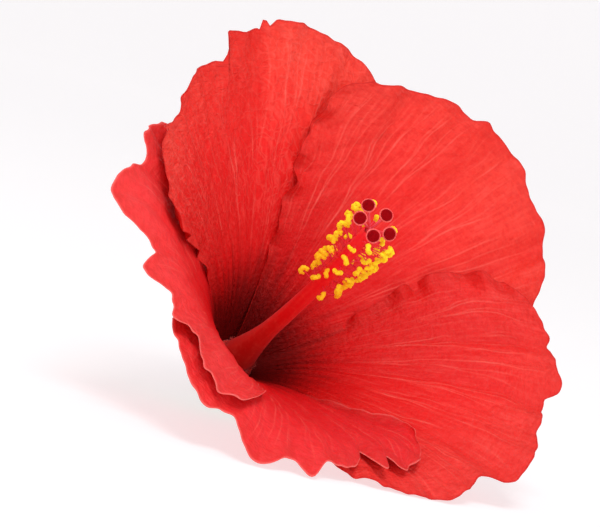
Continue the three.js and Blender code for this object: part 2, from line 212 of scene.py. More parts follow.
@dataclass
class Shell:
    """The points and faces of one piece, gathered from several shapes.

    Each named value is a number for each point that the piece's finish reads.
    """

    points: list[np.ndarray] = field(default_factory=list)
    faces: list[np.ndarray] = field(default_factory=list)
    values: dict[str, list[np.ndarray]] = field(default_factory=dict)
    count: int = 0

    def add(self, points: np.ndarray, faces: Sequence[np.ndarray], **values: np.ndarray) -> None:
        """Adds a shape.

        Args:
            points: its points, as rows.
            faces: arrays of its faces, as rows of point numbers, all of one array alike in length.
            values: the named values of its points, or one number for all of them.
        """
        flat = points.reshape(-1, 3)
        self.points.append(flat)
        self.faces.extend(np.asarray(each) + self.count for each in faces)
        for name, value in values.items():
            wide = np.broadcast_to(np.asarray(value, float).reshape(-1), (len(flat),))
            self.values.setdefault(name, []).append(wide)
        self.count += len(flat)

    def build(
        self,
        name: str,
        material: bpy.types.Material,
        world: Callable[[np.ndarray], np.ndarray] = LIE.world,
    ) -> bpy.types.Object:
        """Makes the Blender object.

        Args:
            name: the piece's name.
            material: its finish.
            world: turns the shell's points into world points, in metres.

        Returns:
            The object, at the origin with its place in its mesh.
        """
        mesh = bpy.data.meshes.new(name)
        faces = [row for each in self.faces for row in each.tolist()]
        mesh.from_pydata(world(np.concatenate(self.points)), [], faces)
        for value_name, parts in self.values.items():
            held = mesh.attributes.new(value_name, "FLOAT", "POINT")
            held.data.foreach_set("value", np.concatenate(parts).astype(np.float32))
        mesh.shade_smooth()
        mesh.update()
        mesh.materials.append(material)
        made = bpy.data.objects.new(name, mesh)
        bpy.context.scene.collection.objects.link(made)
        return made

    def dress(
        self,
        name: str,
        node: str,
        slot: Slot,
        material: bpy.types.Material,
        world: Callable[[np.ndarray], np.ndarray] = LIE.world,
    ) -> None:
        """Makes a piece of the part, which stands for a node and rides on the part's one body.

        Args:
            name: the piece's name.
            node: the node that it replaces.
            slot: the record's finish that it belongs to. It is not used.
            material: its own finish.
            world: turns the shell's points into world points, in metres.
        """
        made = self.build(name, material, world)
        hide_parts(node)
        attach(made, "root")
        log.info("%s: %d faces", made.name, len(made.data.polygons))


def grid_faces(rows: int, columns: int, closed: bool = False) -> np.ndarray:
    """The four-sided faces of a grid of points.

    Args:
        rows: how many rows of points the grid has.
        columns: how many points a row has.
        closed: whether each row joins its end to its start.

    Returns:
        One row of four point numbers for each face.
    """
    across = np.arange(columns if closed else columns - 1)
    i, j = np.meshgrid(across, np.arange(rows - 1))
    after = (i + 1) % columns
    low, high = j * columns, (j + 1) * columns
    return np.stack([low + i, low + after, high + after, high + i], axis=-1).reshape(-1, 4)


def normals_of(points: np.ndarray) -> np.ndarray:
    """The unit normals of a grid of points, square to its rows and columns."""
    normal = np.cross(np.gradient(points, axis=1), np.gradient(points, axis=0))
    return normal / np.maximum(np.linalg.norm(normal, axis=-1, keepdims=True), TINY)


def blade(shell: Shell, middle: np.ndarray, half: np.ndarray, **values: np.ndarray) -> None:
    """Adds a thin blade: two faces a half thickness to each side of a grid, closed round its edge.

    Args:
        shell: where the blade goes.
        middle: the grid of points that runs through the blade's middle.
        half: half its thickness at each point.
        values: named values of the grid's points. "inside" is added: 0 on the face that the grid's
            normals point out of, and 1 on the other.
    """
    rows, columns = middle.shape[:2]
    offset = normals_of(middle) * half[..., None]
    faces = grid_faces(rows, columns)
    under = rows * columns
    number = np.arange(under).reshape(rows, columns)
    rim = np.concatenate([number[0, :-1], number[:-1, -1], number[-1, :0:-1], number[:0:-1, 0]])
    after = np.roll(rim, -1)
    edge = np.stack([rim, rim + under, after + under, after], axis=-1)
    both = {name: np.concatenate([np.ravel(value)] * 2) for name, value in values.items()}
    shell.add(
        np.concatenate([(middle + offset).reshape(-1, 3), (middle - offset).reshape(-1, 3)]),
        [faces, faces[:, ::-1] + under, edge],
        inside=np.repeat([0.0, 1.0], under),
        **both,
    )


ASIDE = (0.31, 0.52, 0.79)
"""A direction that no tube starts along. The first corner of its first ring lies square to it."""


def tube(
    shell: Shell, path: np.ndarray, radius: Union[float, np.ndarray], sides: int, **values: float
) -> None:
    """Adds a round tube along a path, closed at both ends.

    Args:
        shell: where the tube goes.
        path: the points of its middle line, as rows.
        radius: its radius, or one for each point.
        sides: how many sides it has.
        values: named values. "along" is added: 0 at its start to 1 at its end.
    """
    steps = len(path)
    ahead = np.gradient(path, axis=0)
    ahead /= np.maximum(np.linalg.norm(ahead, axis=1, keepdims=True), TINY)
    side = np.cross(ahead[0], ASIDE)
    turn = 2 * math.pi * np.arange(sides) / sides
    rings = []
    for k in range(steps):
        side = side - ahead[k] * (side @ ahead[k])
        side /= np.linalg.norm(side)
        up = np.cross(ahead[k], side)
        reach = np.broadcast_to(radius, (steps,))[k]
        rings.append(path[k] + reach * (np.outer(np.cos(turn), side) + np.outer(np.sin(turn), up)))
    points = np.concatenate([np.concatenate(rings), path[:1], path[-1:]])
    first, last, i = steps * sides, steps * sides + 1, np.arange(sides)
    after = (i + 1) % sides
    foot = np.stack([np.full(sides, first), after, i], axis=-1)
    top = (steps - 1) * sides
    head = np.stack([np.full(sides, last), top + i, top + after], axis=-1)
    along = np.concatenate([np.repeat(np.linspace(0, 1, steps), sides), [0.0, 1.0]])
    shell.add(points, [grid_faces(steps, sides, closed=True), foot, head], along=along, **values)


def lathe(shell: Shell, rings: np.ndarray, **values: np.ndarray) -> None:
    """Adds a skin over closed rings of points, joined from the last ring back to the first."""
    count, sides = rings.shape[:2]
    looped = grid_faces(count + 1, sides, closed=True) % (count * sides)
    shell.add(rings, [looped], **values)


def unit(direction: np.ndarray) -> np.ndarray:
    """A direction, one long."""
    return direction / np.linalg.norm(direction)


def turned_to(direction: np.ndarray) -> np.ndarray:
    """A rotation whose third column is a direction off the vertical, with the others square to it."""
    ahead = unit(direction)
    side = unit(np.cross([0.0, 0.0, 1.0], ahead))
    return np.stack([side, np.cross(ahead, side), ahead], axis=1)


# ------------------------------------------------------------------------- shader maths


Operand = Union["Wire", float]
Measure = Union["Wire", np.ndarray, float]
"""A number worked out for a mesh's points or for a finish."""


def operator(operation: str, swapped: bool = False) -> Callable[["Wire", Operand], "Wire"]:
    """Makes an operator between a wire and another operand, which adds a Math node.

    Args:
        operation: the node's operation.
        swapped: whether the wire is the second operand, as in 1 - wire.

    Returns:
        The operator, as a method of Wire.
    """

    def method(self: "Wire", other: Operand) -> "Wire":
        """Runs the operation on both operands."""
        return self.math(operation, other, self) if swapped else self.math(operation, self, other)

    return method


class Wire:
    """A number, colour or vector on its way through a finish's nodes."""

    def __init__(self, bench: "Bench", socket: bpy.types.NodeSocket) -> None:
        """Wraps an output socket."""
        self.bench = bench
        self.socket = socket

    def math(self, operation: str, *operands: Operand) -> "Wire":
        """Runs a Math node on operands."""
        return self.bench.node("ShaderNodeMath", {"operation": operation}, dict(enumerate(operands)))

    __add__ = __radd__ = operator("ADD")
    __sub__, __rsub__ = operator("SUBTRACT"), operator("SUBTRACT", swapped=True)
    __mul__ = __rmul__ = operator("MULTIPLY")
    __truediv__, __rtruediv__ = operator("DIVIDE"), operator("DIVIDE", swapped=True)
    __pow__, __rpow__ = operator("POWER"), operator("POWER", swapped=True)

    def __abs__(self) -> "Wire":
        """The size of self."""
        return self.math("ABSOLUTE", self)

    def sine(self) -> "Wire":
        """The sine of self, in radians."""
        return self.math("SINE", self)

    def floor(self) -> "Wire":
        """Self rounded down."""
        return self.math("FLOOR", self)

    def ramp(self, low: float, high: float) -> "Wire":
        """Rises smoothly from 0 at low to 1 at high, or falls where low is above high.

        Args:
            low: where the ramp is 0.
            high: where the ramp is 1.

        Returns:
            The ramp's value.
        """
        settings = {"interpolation_type": "SMOOTHSTEP"}
        first, last = (low, high) if low < high else (high, low)
        up = self.bench.node("ShaderNodeMapRange", settings, {0: self, 1: first, 2: last})
        return up if low < high else 1 - up


class Bench:
    """One material and the nodes that make it."""

    MIX_SHARE, MIX_LOW, MIX_HIGH, MIX_RESULT = 0, 6, 7, 2
    """The numbers of a Mix node's sockets for colours."""

    def __init__(self, name: str) -> None:
        """Starts an empty material."""
        self.material = bpy.data.materials.new(name)
        self.material.use_nodes = True
        self.tree = self.material.node_tree
        self.tree.nodes.clear()

    def node(
        self,
        kind: str,
        settings: dict[str, object] | None = None,
        inputs: dict[object, object] | None = None,
        output: object = 0,
    ) -> Wire:
        """Adds a node.

        Args:
            kind: the node's type.
            settings: its settings, which are set first.
            inputs: values or wires for its sockets, by name or number.
            output: which of its outputs to return, by name or number.

        Returns:
            The wire that leaves it.
        """
        made = self.tree.nodes.new(kind)
        for name, value in (settings or {}).items():
            setattr(made, name, value)
        for key, value in (inputs or {}).items():
            if isinstance(value, Wire):
                self.tree.links.new(value.socket, made.inputs[key])
            else:
                made.inputs[key].default_value = value
        return Wire(self, made.outputs[output] if len(made.outputs) else None)

    def value(self, name: str) -> Wire:
        """A named value of the mesh's points."""
        return self.node("ShaderNodeAttribute", {"attribute_name": name}, output="Fac")

    def place(self) -> Wire:
        """Where the point is in the world, in metres."""
        return self.node("ShaderNodeTexCoord", output="Object")

    def vector(self, x: Operand, y: Operand, z: Operand = 0.0) -> Wire:
        """A vector of three numbers."""
        return self.node("ShaderNodeCombineXYZ", inputs={0: x, 1: y, 2: z})

    def noise(self, at: Wire, scale: float, detail: float) -> Wire:
        """Noise from 0 to 1, mostly round a half.

        Args:
            at: the place to read it.
            scale: how many lumps there are to a unit of length.
            detail: how many finer layers it has.

        Returns:
            The noise.
        """
        return self.node("ShaderNodeTexNoise", inputs={"Vector": at, "Scale": scale, "Detail": detail})

    def cells(self, at: Wire, scale: float, edges: bool = False) -> Wire:
        """Distance to the nearest cell's middle, or to the edge between cells.

        Args:
            at: the place to read it.
            scale: how many cells there are to a unit of length.
            edges: whether to measure from the edges.

        Returns:
            The distance, in cells.
        """
        settings = {"feature": "DISTANCE_TO_EDGE" if edges else "F1"}
        return self.node("ShaderNodeTexVoronoi", settings, {"Vector": at, "Scale": scale})

    def mix(self, low: Union[Wire, Colour], high: Union[Wire, Colour], share: Operand) -> Wire:
        """A mix of two colours.

        Args:
            low: the colour where share is 0.
            high: the colour where share is 1.
            share: how much of the second colour there is.

        Returns:
            The mixed colour.
        """
        first, second = (c if isinstance(c, Wire) else (*c, 1.0) for c in (low, high))
        inputs = {self.MIX_SHARE: share, self.MIX_LOW: first, self.MIX_HIGH: second}
        return self.node("ShaderNodeMix", {"data_type": "RGBA"}, inputs, self.MIX_RESULT)

    def relief(self, height: Wire) -> Wire:
        """A normal that shows a height in millimetres as relief."""
        return self.node("ShaderNodeBump", inputs={"Height": height, "Distance": MM, "Strength": 1.0})

    def surface(self, **sockets: object) -> bpy.types.Material:
        """Ends the material in one Principled shader.

        Args:
            sockets: its sockets' values or wires, with _ for each space in their names.

        Returns:
            The finished material.
        """
        inputs = {name.replace("_", " "): value for name, value in sockets.items()}
        for name in ("Base Color", "Emission Color"):
            if isinstance(inputs.get(name), tuple):
                inputs[name] = (*inputs[name], 1.0)
        shader = self.node("ShaderNodeBsdfPrincipled", inputs=inputs)
        self.node("ShaderNodeOutputMaterial", inputs={"Surface": shader})
        return self.material


def sine(x: Measure) -> Measure:
    """The sine of numbers or of a wire."""
    return x.sine() if isinstance(x, Wire) else np.sin(x)


def floor(x: Measure) -> Measure:
    """Numbers or a wire, rounded down."""
    return x.floor() if isinstance(x, Wire) else np.floor(x)


# ------------------------------------------------------------------------- finishes


@dataclass(frozen=True)
class Veins:
    """The veins of one petal, in its own measures: across it, -1 to 1, and its share of the way
    from the claw, 0, to the rim, 1. They fan out from the claw, one to a strip, and fork twice.

    Widths are millimetres, and spreads and wanders are in strips. Each vein forks to its right,
    then to its left, and the right branch sends out a fainter twig. A fork starts at a share of the
    way to the rim, moved by a sway of that vein's own, and spreads over a run. Rates are radians.
    """

    count: int = 11
    line: float = 0.3
    claw_width: float = 9.0
    rim_width: float = 100.0
    wander: float = 0.11
    slow_rates: Span = (8.0, 5.0)
    quick_rates: Span = (31.0, 17.0)
    quick_share: float = 3.0
    first_fork: float = 0.30
    first_run: float = 0.45
    second_fork: float = 0.52
    second_run: float = 0.40
    twig_run: Span = (0.60, 1.05)
    sway: float = 0.12
    sway_rates: Span = (2.4, 3.7)
    spread: float = 0.27
    twig_spread: float = 0.16
    onset: float = 0.08
    twig_onset: float = 0.1
    twig_strength: float = 0.7
    thinning: float = 0.35
    seed: float = 0.0

    def strip(self, across: Measure, share: Measure) -> tuple[Measure, Measure]:
        """Finds a place among the strips that the veins run in.

        Args:
            across: the place across the petal.
            share: its share of the way to the rim.

        Returns:
            How far to the side of its vein it lies, -0.5 to 0.5 of a strip, and the vein's number.
        """
        slow, quick = (
            sine(share * up + across * aside + self.seed)
            for up, aside in (self.slow_rates, self.quick_rates)
        )
        wander = slow * self.wander + quick * (self.wander / self.quick_share)
        place = (across + 1) * (self.count / 2) + wander * share
        number = floor(place)
        return place - number - 0.5, number

    def lines(self, across: Wire, share: Wire, width: float = 1.0) -> Wire:
        """How strongly a place shows as vein.

        Args:
            across: the place across the petal.
            share: its share of the way to the rim.
            width: how many times their own width the lines are drawn.

        Returns:
            0 between the veins to about 1 in the middle of one.
        """
        aside, number = self.strip(across, share)
        strip_width = (share * (self.rim_width - self.claw_width) + self.claw_width) / self.count
        per_line = strip_width / (self.line * width)

        def line(middle: Operand) -> Wire:
            """One line of the strip, by its middle."""
            return (abs(aside - middle) * per_line).ramp(1.0, 0.0)

        early, late = ((number * rate + self.seed).sine() * self.sway for rate in self.sway_rates)
        right = (share - early).ramp(self.first_fork, self.first_fork + self.first_run)
        left = (share - late).ramp(self.second_fork, self.second_fork + self.second_run)
        twig = (share + early).ramp(*self.twig_run)
        total = line(0.0) * (1.0 - share * self.thinning)
        total = total + line(right * self.spread) * right.ramp(0.0, self.onset)
        total = total + line(left * -self.spread) * left.ramp(0.0, self.onset)
        twigs = line(right * self.spread + twig * self.twig_spread)
        return total + twigs * twig.ramp(0.0, self.twig_onset) * self.twig_strength


@dataclass(frozen=True)
class Weave:
    """Noise in a petal's own measures: its lumps across half the petal and to a millimetre of run."""

    across: float
    run: float
    detail: float

    def read(self, bench: Bench, across: Wire, run: Wire, seed: float) -> Wire:
        """The noise, from 0 to 1."""
        return bench.noise(bench.vector(across * self.across, run * self.run, seed), 1.0, self.detail)


@dataclass(frozen=True)
class Flesh:
    """How light goes through living tissue: how much of it, how far by colour, and its depth in m."""

    weight: float
    radius: Triple
    depth: float

    def sockets(self) -> dict[str, object]:
        """The sockets of a surface that it sets."""
        return {
            "Subsurface_Weight": self.weight,
            "Subsurface_Radius": self.radius,
            "Subsurface_Scale": self.depth,
        }


@dataclass(frozen=True)
class PetalFinish:
    """Thin satin petal tissue: red, with paler veins, a rim of its own colour and a dark throat.

    A pair named for a noise or a measure is where its ramp is 0 and where it is 1. Runs and margins
    are millimetres up the petal and from its edge, and heights are millimetres of relief. The pairs
    of roughness, crepe_height and grain_height are what holds all over and what is added to it, by
    the crepe or near the rim.
    """

    deep: Colour = paint(206, 6, 10)
    face: Colour = paint(238, 36, 34)
    light: Colour = paint(245, 72, 58)
    vein: Colour = paint(255, 118, 104)
    throat: Colour = paint(108, 4, 3)
    rim: Colour = paint(190, 26, 24)
    shade: Colour = paint(203, 44, 38)
    back: Colour = paint(216, 36, 32)

    fading: Weave = Weave(7.0, 0.06, detail=1.0)
    swaying: Weave = Weave(9.0, 0.17, detail=2.0)
    silky: Weave = Weave(52.0, 0.10, detail=3.0)
    creped: Weave = Weave(20.0, 0.75, detail=3.0)
    grained: Weave = Weave(60.0, 1.6, detail=2.0)
    mesh: Span = (30.0, 0.36)
    mesh_sway: Span = (5.0, 3.0)
    mesh_line: Span = (0.15, 0.0)
    cloud_scale: float = 32.0
    mottle_scale: float = 700.0
    detail: float = 3.0

    face_run: Span = (20.0, 60.0)
    light_run: Span = (44.0, 82.0)
    face_clouds: float = 30.0
    mottle: Span = (0.42, 0.75)
    mottle_share: float = 0.3
    awake: Span = (16.0, 44.0)
    vein_margin: Span = (0.6, 9.0)
    vein_fade: Span = (0.3, 0.65)
    vein_share: float = 0.30
    net: float = 0.04
    silk: float = 0.26
    silk_dark: Span = (0.48, 0.72)
    silk_light: Span = (0.5, 0.3)
    silk_light_share: float = 0.4
    grain_light: Span = (0.5, 0.9)
    grain_share: float = 0.10
    shade_margin: Span = (7.0, 0.5)
    shade_crepe: Span = (0.3, 0.62)
    shade_share: float = 0.5
    fold_share: float = 0.45
    throat_run: Span = (1.0, 25.0)
    throat_streaks: float = 2.5
    streak_width: float = 5.0
    throat_clouds: float = 16.0
    throat_power: float = 1.2
    back_veins: float = 0.4
    back_net: float = 0.1
    rim_margin: Span = (0.7, 0.0)
    rim_share: float = 0.6

    relief: float = 1.0
    vein_height: float = 0.07
    share_of_height: float = 0.5
    relief_margin: Span = (30.0, 3.0)
    crepe_height: Span = (0.22, 0.40)
    grain_height: Span = (0.06, 0.10)
    roughness: Span = (0.48, 0.12)
    rough_crepe: Span = (0.2, 0.8)
    specular: float = 0.14
    flesh: Flesh = Flesh(0.25, (1.0, 0.12, 0.08), 0.0016)

    def face_colour(self, bench: Bench, run: Wire, clouds: Wire, mottle: Wire) -> Wire:
        """The colour of the petal's upper face between its veins.

        Args:
            bench: the finish that it belongs to.
            run: how far up the petal each place is, in millimetres.
            clouds: a broad noise.
            mottle: a fine noise.

        Returns:
            The colour, deep near the throat and lighter towards the rim.
        """
        far = run + (clouds - 0.5) * self.face_clouds
        colour = bench.mix(self.deep, self.face, far.ramp(*self.face_run))
        colour = bench.mix(colour, self.light, far.ramp(*self.light_run))
        return bench.mix(colour, self.deep, mottle.ramp(*self.mottle) * self.mottle_share)

    def material(self, name: str, veins: Veins) -> bpy.types.Material:
        """Makes the finish of one petal, with its own veins."""
        bench = Bench(name)
        across, share, run, margin, inside, fold = (
            bench.value(each) for each in ("across", "share", "run", "margin", "inside", "fold")
        )
        fade, sway, silk, crepe, grain = (
            weave.read(bench, across, run, veins.seed)
            for weave in (self.fading, self.swaying, self.silky, self.creped, self.grained)
        )
        awake = run.ramp(*self.awake)
        shown = margin.ramp(*self.vein_margin) * fade.ramp(*self.vein_fade) * awake
        lines = veins.lines(across, share) * shown
        streaks = veins.lines(across, share, width=self.streak_width)
        mesh_across, mesh_run = (
            measure * scale + sway * shift
            for measure, scale, shift in zip((across, run), self.mesh, self.mesh_sway)
        )
        meshes = bench.cells(bench.vector(mesh_across, mesh_run, veins.seed), 1.0, edges=True)
        net = meshes.ramp(*self.mesh_line) * awake
        place = bench.place()
        clouds, mottle = (
            bench.noise(place, scale, self.detail) for scale in (self.cloud_scale, self.mottle_scale)
        )

        face = self.face_colour(bench, run, clouds, mottle)
        face = bench.mix(face, self.deep, silk.ramp(*self.silk_dark) * self.silk)
        soft = silk.ramp(*self.silk_light) * (self.silk * self.silk_light_share)
        speckles = grain.ramp(*self.grain_light) * self.grain_share
        face = bench.mix(face, self.vein, lines * self.vein_share + net * self.net + soft + speckles)
        shaded = margin.ramp(*self.shade_margin) * crepe.ramp(*self.shade_crepe)
        face = bench.mix(face, self.shade, shaded * self.shade_share)
        # painted shade: the far side of each crease is mixed towards the deep colour
        face = bench.mix(face, self.deep, fold * self.fold_share)
        out = run - streaks * self.throat_streaks + (clouds - 0.5) * self.throat_clouds
        face = bench.mix(self.throat, face, out.ramp(*self.throat_run) ** self.throat_power)
        back = bench.mix(self.back, self.vein, lines * self.back_veins + net * self.back_net)
        colour = bench.mix(back, face, inside)
        rim = margin.ramp(*self.rim_margin) * awake * self.rim_share
        colour = bench.mix(colour, self.rim, rim)

        near_rim = margin.ramp(*self.relief_margin)
        height = lines * self.vein_height + net * (self.net * self.share_of_height)
        height = height + silk * (self.silk * self.share_of_height)
        for wave, (all_over, at_rim) in ((crepe, self.crepe_height), (grain, self.grain_height)):
            height = height + wave * (near_rim * at_rim + all_over)
        smoothest, rougher = self.roughness
        return bench.surface(
            Base_Color=colour,
            Roughness=crepe.ramp(*self.rough_crepe) * rougher + smoothest,
            Normal=bench.relief(height * self.relief),
            Specular_IOR_Level=self.specular,
            **self.flesh.sockets(),
        )


@dataclass(frozen=True)
class SmoothFinish:
    """Satin living tissue with a slow change of colour along it and a fine grain.

    The seat is painted shade: a dark red for where it lies in the dark under the petals. A pair named
    for a noise is where its ramp is 0 and where it is 1.
    """

    start: Colour
    end: Colour
    grain: Colour
    grain_scale: float = 900.0
    streaks: float = 0.0
    roughness: float = 0.45
    relief: float = 0.03
    sheen: float = 0.05
    specular: float = 0.35
    seat: Colour = paint(96, 6, 6)
    grain_detail: float = 3.0
    streak_scale: Span = (9.0, 3.0)
    streak_detail: float = 2.0
    end_power: float = 1.5
    grain_ramp: Span = (0.45, 0.8)
    grain_share: float = 0.5
    streak_ramp: Span = (0.4, 0.7)
    streak_height: float = 2.0
    rough_grain: float = 0.2
    flesh: Flesh = Flesh(0.15, (1.0, 0.3, 0.2), 0.0012)

    def material(self, name: str) -> bpy.types.Material:
        """Makes the finish."""
        bench = Bench(name)
        along, turn, seat = (bench.value(each) for each in ("along", "turn", "seat"))
        grain = bench.noise(bench.place(), self.grain_scale, self.grain_detail)
        round_it, up_it = self.streak_scale
        streak = bench.noise(bench.vector(turn * round_it, along * up_it), 1.0, self.streak_detail)
        colour = bench.mix(self.start, self.end, along**self.end_power)
        grained = grain.ramp(*self.grain_ramp) * self.grain_share
        grained = grained + streak.ramp(*self.streak_ramp) * self.streaks
        colour = bench.mix(colour, self.grain, grained)
        return bench.surface(
            # painted shade: the seat's dark red where the piece lies in the dark under the petals
            Base_Color=bench.mix(colour, self.seat, seat),
            Roughness=grain * self.rough_grain + (self.roughness - self.rough_grain / 2),
            Normal=bench.relief(grain * self.relief + streak * self.relief * self.streak_height),
            Specular_IOR_Level=self.specular,
            Sheen_Weight=self.sheen,
            **self.flesh.sockets(),
        )


@dataclass(frozen=True)
class PollenFinish:
    """Anthers crusted with yellow pollen, orange where they are younger, with small dark clefts.

    The crust's grains and lumps have a number to the metre and a height in millimetres. The clefts
    are painted shade, a darker orange where the lumps are low, and the pollen has a faint painted glow
    of its own yellow.
    """

    ripe: Colour = paint(255, 214, 34)
    young: Colour = paint(255, 168, 16)
    cleft_shade: Colour = paint(236, 120, 4)
    grain_scale: float = 6500.0
    grain_height: float = -0.09
    lump_scale: float = 1800.0
    lump_detail: float = 2.0
    lump_height: float = 0.12
    cleft_shade_ramp: Span = (0.46, 0.28)
    cleft_shade_share: float = 0.8
    roughness: float = 0.75
    specular: float = 0.2
    glow: float = 0.14
    flesh: Flesh = Flesh(0.4, (1.0, 0.8, 0.1), 0.0008)

    def material(self, name: str) -> bpy.types.Material:
        """Makes the finish."""
        bench = Bench(name)
        place = bench.place()
        grains = bench.cells(place, self.grain_scale)
        lumps = bench.noise(place, self.lump_scale, self.lump_detail)
        colour = bench.mix(self.ripe, self.young, bench.value("age"))
        # painted shade: the low clefts between the lumps are mixed towards a darker orange
        shaded_clefts = lumps.ramp(*self.cleft_shade_ramp) * self.cleft_shade_share
        return bench.surface(
            Base_Color=bench.mix(colour, self.cleft_shade, shaded_clefts),
            Roughness=self.roughness,
            Normal=bench.relief(grains * self.grain_height + lumps * self.lump_height),
            Specular_IOR_Level=self.specular,
            # painted light: the pollen glows faintly in its own yellow, which brightens it
            Emission_Color=self.ripe,
            Emission_Strength=self.glow,
            **self.flesh.sockets(),
        )


# ------------------------------------------------------------------------- the corolla


@dataclass(frozen=True)
class Funnel:
    """The funnel that all petals follow, and its ruffle.

    Slopes are degrees between the petal and the axis. From the throat's slope the funnel opens to
    the flare, and past the start of the curl it bends outwards, both by their azimuth. Runs are
    millimetres up the petal. A ruffle is its height, its number round the flower and its phase.
    """

    claw_radius: float = 6.0
    throat_slope: float = 30.0
    flare_run: float = 35.0
    curl_start: float = 48.0
    curl_run: float = 30.0
    curl_power: float = 1.3
    steps: int = 24
    flare: Knots = (
        (-30, 58), (20, 60), (66, 58), (105, 51), (140, 45), (165, 46), (195, 46), (218, 47),
        (250, 51), (285, 56),
    )  # fmt: skip
    curl: Knots = (
        (-6, 0), (66, 0), (100, 10), (130, 62), (180, 84), (215, 78), (245, 40), (282, 5),
    )  # fmt: skip
    ruffle_start: float = 42.0
    ruffle_run: float = 32.0
    ruffles: tuple[Triple, ...] = ((0.6, 17, 40), (0.3, 26, 160))

    def slope(self, azimuth: np.ndarray, run: np.ndarray) -> np.ndarray:
        """The funnel's slope, in radians, a run of millimetres up from the claws."""
        flare, curl = around(self.flare, azimuth), around(self.curl, azimuth)
        past = np.maximum(0, (run - self.curl_start) / self.curl_run)
        opened = (flare - self.throat_slope) * ease(run, 0.0, self.flare_run)
        return np.radians(self.throat_slope + opened + curl * past**self.curl_power)

    def at(self, azimuth: np.ndarray, run: np.ndarray, lift: np.ndarray) -> np.ndarray:
        """Points on the funnel.

        Args:
            azimuth: their azimuths, in degrees.
            run: how far up the funnel from the claws they are, in millimetres.
            lift: how far off it they are, towards the flower's inside.

        Returns:
            The points, in the flower's frame.
        """
        radius, height = self.claw_radius, 0.0
        for k in range(self.steps):
            slope = self.slope(azimuth, run * (k + 0.5) / self.steps)
            radius = radius + np.sin(slope) * run / self.steps
            height = height + np.cos(slope) * run / self.steps
        slope = self.slope(azimuth, run)
        return radial(azimuth, radius - lift * np.cos(slope), height + lift * np.sin(slope))

    def ruffle(self, azimuth: np.ndarray, run: np.ndarray) -> np.ndarray:
        """The ruffle that all petals share, so that where two overlap they ripple together."""
        return ease(run, self.ruffle_start, self.ruffle_run) * sum(
            size * np.sin(np.radians(count * azimuth + phase)) for size, count, phase in self.ruffles
        )


FUNNEL = Funnel()


